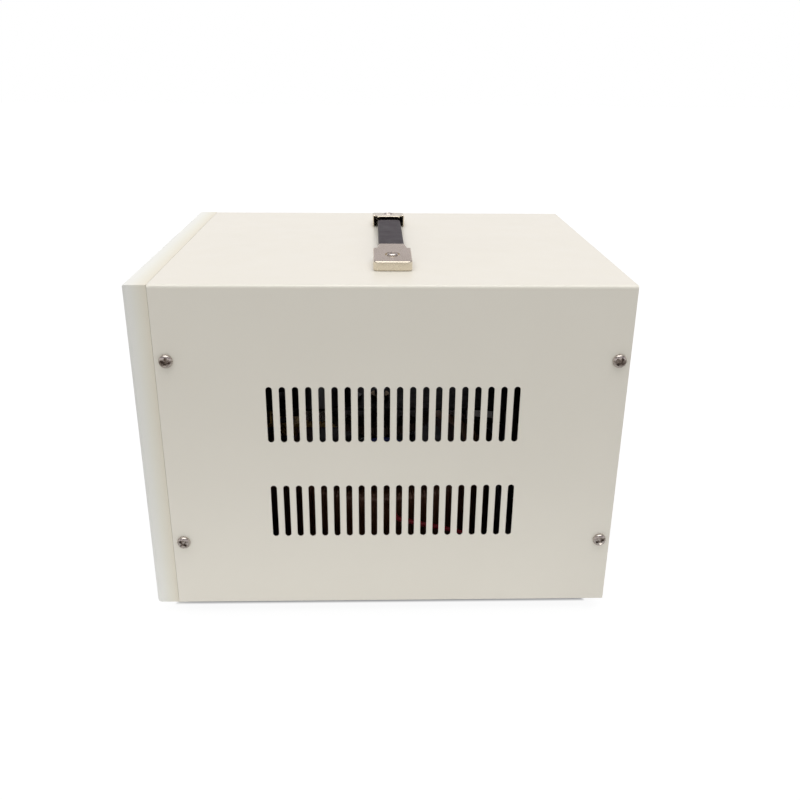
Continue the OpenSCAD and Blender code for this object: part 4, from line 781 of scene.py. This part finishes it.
def strap_half(side):
    """Half of the strap, from inside its cap to the middle, a little arched between the caps."""
    lo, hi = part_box("handle_grip")
    width, thick = hi.y - lo.y, hi.z - lo.z
    mid_z = (lo.z + hi.z) / 2
    tip = hi.x + 0.0005
    section = []
    for k, (sy, sz) in enumerate([(1, 1), (-1, 1), (-1, -1), (1, -1)]):
        for a in range(6):
            t = math.radians(90 * k + 90 * a / 5)
            section.append((sy * (width / 2 - STRAP_ROUND) + STRAP_ROUND * math.cos(t),
                            sz * (thick / 2 - STRAP_ROUND) + STRAP_ROUND * math.sin(t)))
    # The two broad faces are crowned
    full = []
    for i, (y, z) in enumerate(section):
        full.append((y, z))
        next_y, next_z = section[(i + 1) % len(section)]
        if abs(next_y - y) > 0.005:
            for s in (0.2, 0.4, 0.6, 0.8):
                crown = STRAP_CROWN * math.sin(math.pi * s)
                full.append((y + (next_y - y) * s, z + (crown if z > 0 else -crown)))
    rings = []
    for i in range(STRAP_RINGS + 1):
        x = (tip + STRAP_IN) * i / STRAP_RINGS
        rise = (STRAP_RISE * smoothstep((tip + 0.005 - x) / STRAP_BEND)
                + STRAP_ARCH * math.cos(min(1, x / 0.05) * math.pi / 2))
        lean = STRAP_LEAN * (smoothstep((tip + 0.0045 - x) / STRAP_BEND)
                             - smoothstep((tip + 0.0055 - x) / STRAP_BEND))
        rings.append([Vector((side * (x + z * lean), handle_y + y, mid_z + z + rise)) for y, z in full])
    obj = add("strap_right" if side > 0 else "strap_left", grid_mesh("strap", rings))
    # The end inside the cap is closed; the middle stays open, where the halves meet
    bm = bmesh.new()
    bm.from_mesh(obj.data)
    ends = [v for v in bm.verts if abs(v.co.x) > tip + 0.0174]
    bmesh.ops.contextual_create(bm, geom=[e for e in bm.edges if e.verts[0] in ends and e.verts[1] in ends])
    bmesh.ops.recalc_face_normals(bm, faces=bm.faces)
    bm.to_mesh(obj.data)
    bm.free()
    obj.data.materials.append(MATS["grip_vinyl"])
    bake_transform(obj)
    return obj


screw_x = (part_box("handle_screws")[1].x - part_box("handle_screws")[0].x) / 2 - 0.0033
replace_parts(strap_half(1), "handle_grip", "handle_core")
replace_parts(strap_half(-1), "handle_grip", "handle_core")
for side in ("right", "left"):
    # The screw's seat keeps its sharp rim
    dressed("handle_cap_" + side, 0.0007, 4, 40,
            leave=lambda p: math.hypot(abs(p.x) - screw_x, p.y - handle_y) < 0.0056)


# Regulator

TURNS, RINGS_PER_TURN = 220, 4
RING_ROUND, RING_HOLE_R = 0.006, 0.036
GROOVE = 0.00055


def winding():
    """The toroidal winding, with every turn of wire as a ridge round its section."""
    r_out, steps = ring_hi.x, 6
    corners = ((r_out, ring_hi.z, 1, 1), (RING_HOLE_R, ring_hi.z, -1, 1),
               (RING_HOLE_R, ring_lo.z, -1, -1), (r_out, ring_lo.z, 1, -1))
    rings = []
    for i in range(TURNS * RINGS_PER_TURN):
        a = math.tau * i / (TURNS * RINGS_PER_TURN)
        wave = 0.5 + 0.5 * math.cos(math.tau * i / RINGS_PER_TURN)
        ring = []
        for k, (corner_r, corner_z, side_r, side_z) in enumerate(corners):
            for j in range(steps + 1):
                t = math.radians(90 * k + 90 * j / steps)
                out_r, out_z = math.cos(t), math.sin(t)
                r = corner_r - side_r * RING_ROUND + RING_ROUND * out_r
                z = corner_z - side_z * RING_ROUND + RING_ROUND * out_z
                deep = GROOVE * (r / r_out) * (1 - wave)
                r -= out_r * deep
                ring.append(Vector((r * math.cos(a), mid_y + r * math.sin(a), z - out_z * deep)))
        rings.append(ring)
    return stand_in(add("winding_turns", grid_mesh("winding_turns", rings, closed=True)), "toroid_winding")


winding()
for node, width in (("clamp_disc", 0.0006), ("toroid_pad", 0.0004), ("brush_arm", 0.0003), ("carbon_brush", 0.0003),
                    ("motor_bridge", 0.0003), ("servo_motor", 0.0008), ("limit_switches", 0.0003),
                    ("control_board", 0.0002), ("board_parts", 0.0006)):
    dressed(node, width, 2)


# Front fittings

# The scale goes 45 degrees to each side of upright, in divisions of which every fifth is long
SCALE_FROM, SCALE_SPAN = -math.radians(45), math.radians(90)
DIVISIONS, NUMBERS = 50, 6
SCALE_R, ARC_LOW_R, ARC_HIGH_R, NUMBER_R = 0.0288, 0.0286, 0.0289, 0.0255


def number_mesh(text):
    """A plain number as a flat mesh, upright in XY round the origin."""
    data = bpy.data.curves.new("number", "FONT")
    data.body = text
    data.size = 0.0042
    data.align_x = "CENTER"
    data.align_y = "CENTER"
    data.extrude = 0.00003
    data.offset = 0.00004
    glyph = add("number", data)
    bpy.context.view_layer.update()
    mesh = bpy.data.meshes.new_from_object(glyph.evaluated_get(bpy.context.evaluated_depsgraph_get()))
    bpy.data.objects.remove(glyph)
    return mesh


def dial_print(side):
    """The scale printed on a meter's dial: an arc, long and short divisions, and plain numbers."""
    low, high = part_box("meter_dial_" + side)
    mid_x, face = (low.x + high.x) / 2, high.y - 0.0008
    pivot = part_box("meter_needle_" + side)[0].z + 0.003
    bm = bmesh.new()

    def bar(angle, r0, r1, width, front):
        across = Vector((math.cos(angle), 0, -math.sin(angle))) * width / 2
        along = Vector((math.sin(angle), 0, math.cos(angle)))
        base = Vector((mid_x, 0, pivot))
        corners = [base + along * r0 - across, base + along * r0 + across,
                   base + along * r1 + across, base + along * r1 - across]
        ring = [[bm.verts.new((c.x, y, c.z)) for c in corners] for y in (front, face - 0.00001)]
        bm.faces.new(ring[0])
        for k in range(4):
            n = (k + 1) % 4
            bm.faces.new((ring[0][k], ring[1][k], ring[1][n], ring[0][n]))

    step = SCALE_SPAN / DIVISIONS
    for i in range(DIVISIONS + 1):
        angle = SCALE_FROM + i * step
        if i % 5 == 0:
            # A long one covers the raised tick of the CAD's dial
            bar(angle, SCALE_R, 0.0320, 0.0007, face - 0.00026)
        else:
            bar(angle, SCALE_R, 0.0304, 0.00022, face - 0.00006)
        if i < DIVISIONS:
            bar(angle + step / 2, ARC_LOW_R, ARC_HIGH_R, ARC_HIGH_R * step * 1.02, face - 0.00005)
    bmesh.ops.recalc_face_normals(bm, faces=bm.faces)
    for i in range(NUMBERS):
        mesh = number_mesh(str(60 * i))
        angle = SCALE_FROM + SCALE_SPAN * i / (NUMBERS - 1)
        spot = Vector((mid_x + NUMBER_R * math.sin(angle), face - 0.00004, pivot + NUMBER_R * math.cos(angle)))
        mesh.transform(Matrix.Translation(spot) @ Matrix.Rotation(angle, 4, "Y")
                       @ Matrix.Rotation(math.radians(90), 4, "X"))
        bm.from_mesh(mesh)
    mesh = as_mesh(bm, "print_" + side)
    return carry(add("dial_print_" + side, mesh), "case", "black_plastic", MATS["dial_print"])


for side in ("input", "output"):
    dial_print(side)
    meter = dressed("meter_case_" + side, 0.0006, 3)
    # The floor of the meter's room makes way for the needle's hub, which would just touch it
    hub_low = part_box("meter_needle_" + side)[0].z
    for vert in meter.data.vertices:
        if abs(vert.co.z - hub_low) < 0.00002:
            vert.co.z -= 0.0003
    dressed("meter_window_" + side, 0.0002, 2)
for lamp in ("lamp_green", "lamp_yellow", "lamp_red"):
    dressed(lamp, 0.0003, 2)
dressed("delay_button", 0.0006, 3)
dressed("delay_switch", 0.0004, 2)
dressed("breaker_body", 0.0006, 3)
dressed("breaker_lever", 0.0007, 3, 40)


# Rear fittings

dressed("terminal_block", 0.0004, 2)
dressed("terminal_screws", 0.00025, 2)
dressed("terminal_cover", 0.0002, 2)
for side in ("left", "right"):
    outlet_lo, outlet_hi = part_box("outlet_" + side)
    face_mid = (outlet_lo + outlet_hi) / 2
    inside = (outlet_hi.x - outlet_lo.x) / 2 - 0.003
    # Only the rim is rounded: the pin slots are cut sharp
    dressed("outlet_" + side, 0.0007, 3,
            leave=lambda p: max(abs(p.x - face_mid.x), abs(p.z - face_mid.z)) < inside)
dressed("earth_stud", 0.0002, 2)


# Floor, light and world

FLOOR_HALF = 6
FLOOR_WHITE = 1.09
AMBIENT = 0.51
SUN_POWER, SUN_WIDTH, SUN_TILT = 2.06, math.radians(70), math.radians(-2)
# The studio in reflections, from straight down to straight up: height, brightness, and its green and blue to its red
STUDIO = ((0.0, 0.9, 0.985, 0.965), (0.20, 0.85, 0.96, 0.98), (0.42, 0.62, 0.91, 1.0), (0.57, 0.12, 0.90, 1.02),
          (0.84, 0.16, 0.95, 1.0), (0.92, 1.35, 0.985, 0.965))


def make_floor():
    """A matt white floor, which looks different to the camera, to matt surfaces and in reflections."""
    bm = bmesh.new()
    bmesh.ops.create_grid(bm, x_segments=1, y_segments=1, size=FLOOR_HALF)
    floor = add("floor", as_mesh(bm, "floor"))
    mat, tree, skin = new_material("floor")
    skin["Base Color"].default_value = (0.60, 0.60, 0.60, 1)
    skin["Roughness"].default_value = 0.9
    skin["Specular IOR Level"].default_value = 0.1
    at = tree.place()
    axes, distance, ray = tree.axes(at), tree.length(at), tree.ray()
    # The camera sees the shadow at full strength only under the case
    away = []
    for axis, reach, middle in (("X", half_w, 0.0), ("Y", case_l / 2, (cover_hi.y + bezel_lo.y) / 2)):
        off = tree.maths("ABSOLUTE", tree.maths("SUBTRACT", axes[axis], middle))
        away.append(tree.remap(off, 0.25, 0.86, reach - 0.0110, reach - 0.0085))
    share = tree.maths("MULTIPLY", ray["Is Camera Ray"], tree.maths("MAXIMUM", *away))
    matt = tree.nodes["Principled BSDF"].outputs["BSDF"]
    shader = tree.mix_shaders(share, matt, tree.emission(WHITE, FLOOR_WHITE))
    # On matt surfaces the floor near the object throws extra light upwards
    near = tree.maths("MULTIPLY", tree.remap(distance, 0.58, 0, 0.18, 0.50), ray["Is Diffuse Ray"])
    shader = tree.add_shaders(shader, tree.emission(WHITE, near))
    # In reflections the floor is a table of limited size: it darkens away from the object
    beyond = tree.maths("MULTIPLY", tree.remap(distance, 0, 1, 0.22, 0.42), ray["Is Glossy Ray"])
    shader = tree.mix_shaders(beyond, shader, tree.emission((0.20, 0.17, 0.15)))
    tree.feed(tree.nodes["Material Output"].inputs["Surface"], shader)
    floor.data.materials.append(mat)


def make_world():
    """White to the camera and through glass, a level ambient on matt surfaces, and a studio in reflections."""
    scene.world = bpy.data.worlds.new("studio")
    tree = Tree(scene.world)
    ray = tree.ray()
    height = tree.axes(tree.nodes.new("ShaderNodeTexCoord").outputs["Generated"])["Z"]
    studio = tree.ramp(height, [(position, (v, v * green, v * blue)) for position, v, green, blue in STUDIO])
    ambient = tree.nodes["Background"]
    ambient.inputs["Color"].default_value = (1, 1, 1, 1)
    ambient.inputs["Strength"].default_value = AMBIENT
    light = tree.mix_shaders(ray["Is Glossy Ray"], ambient.outputs["Background"], tree.background(studio))
    seen = tree.maths("MAXIMUM", ray["Is Camera Ray"], ray["Is Transmission Ray"])
    shader = tree.mix_shaders(seen, light, tree.background(WHITE))
    tree.feed(tree.nodes["World Output"].inputs["Surface"], shader)


def make_light():
    data = bpy.data.lights.new("overhead", "SUN")
    data.energy = SUN_POWER
    data.angle = SUN_WIDTH
    lamp = bpy.data.objects.new("overhead", data)
    lamp.rotation_euler = (0, SUN_TILT, 0)
    scene.collection.objects.link(lamp)


make_floor()
make_world()
make_light()
scene.view_settings.view_transform = "Standard"
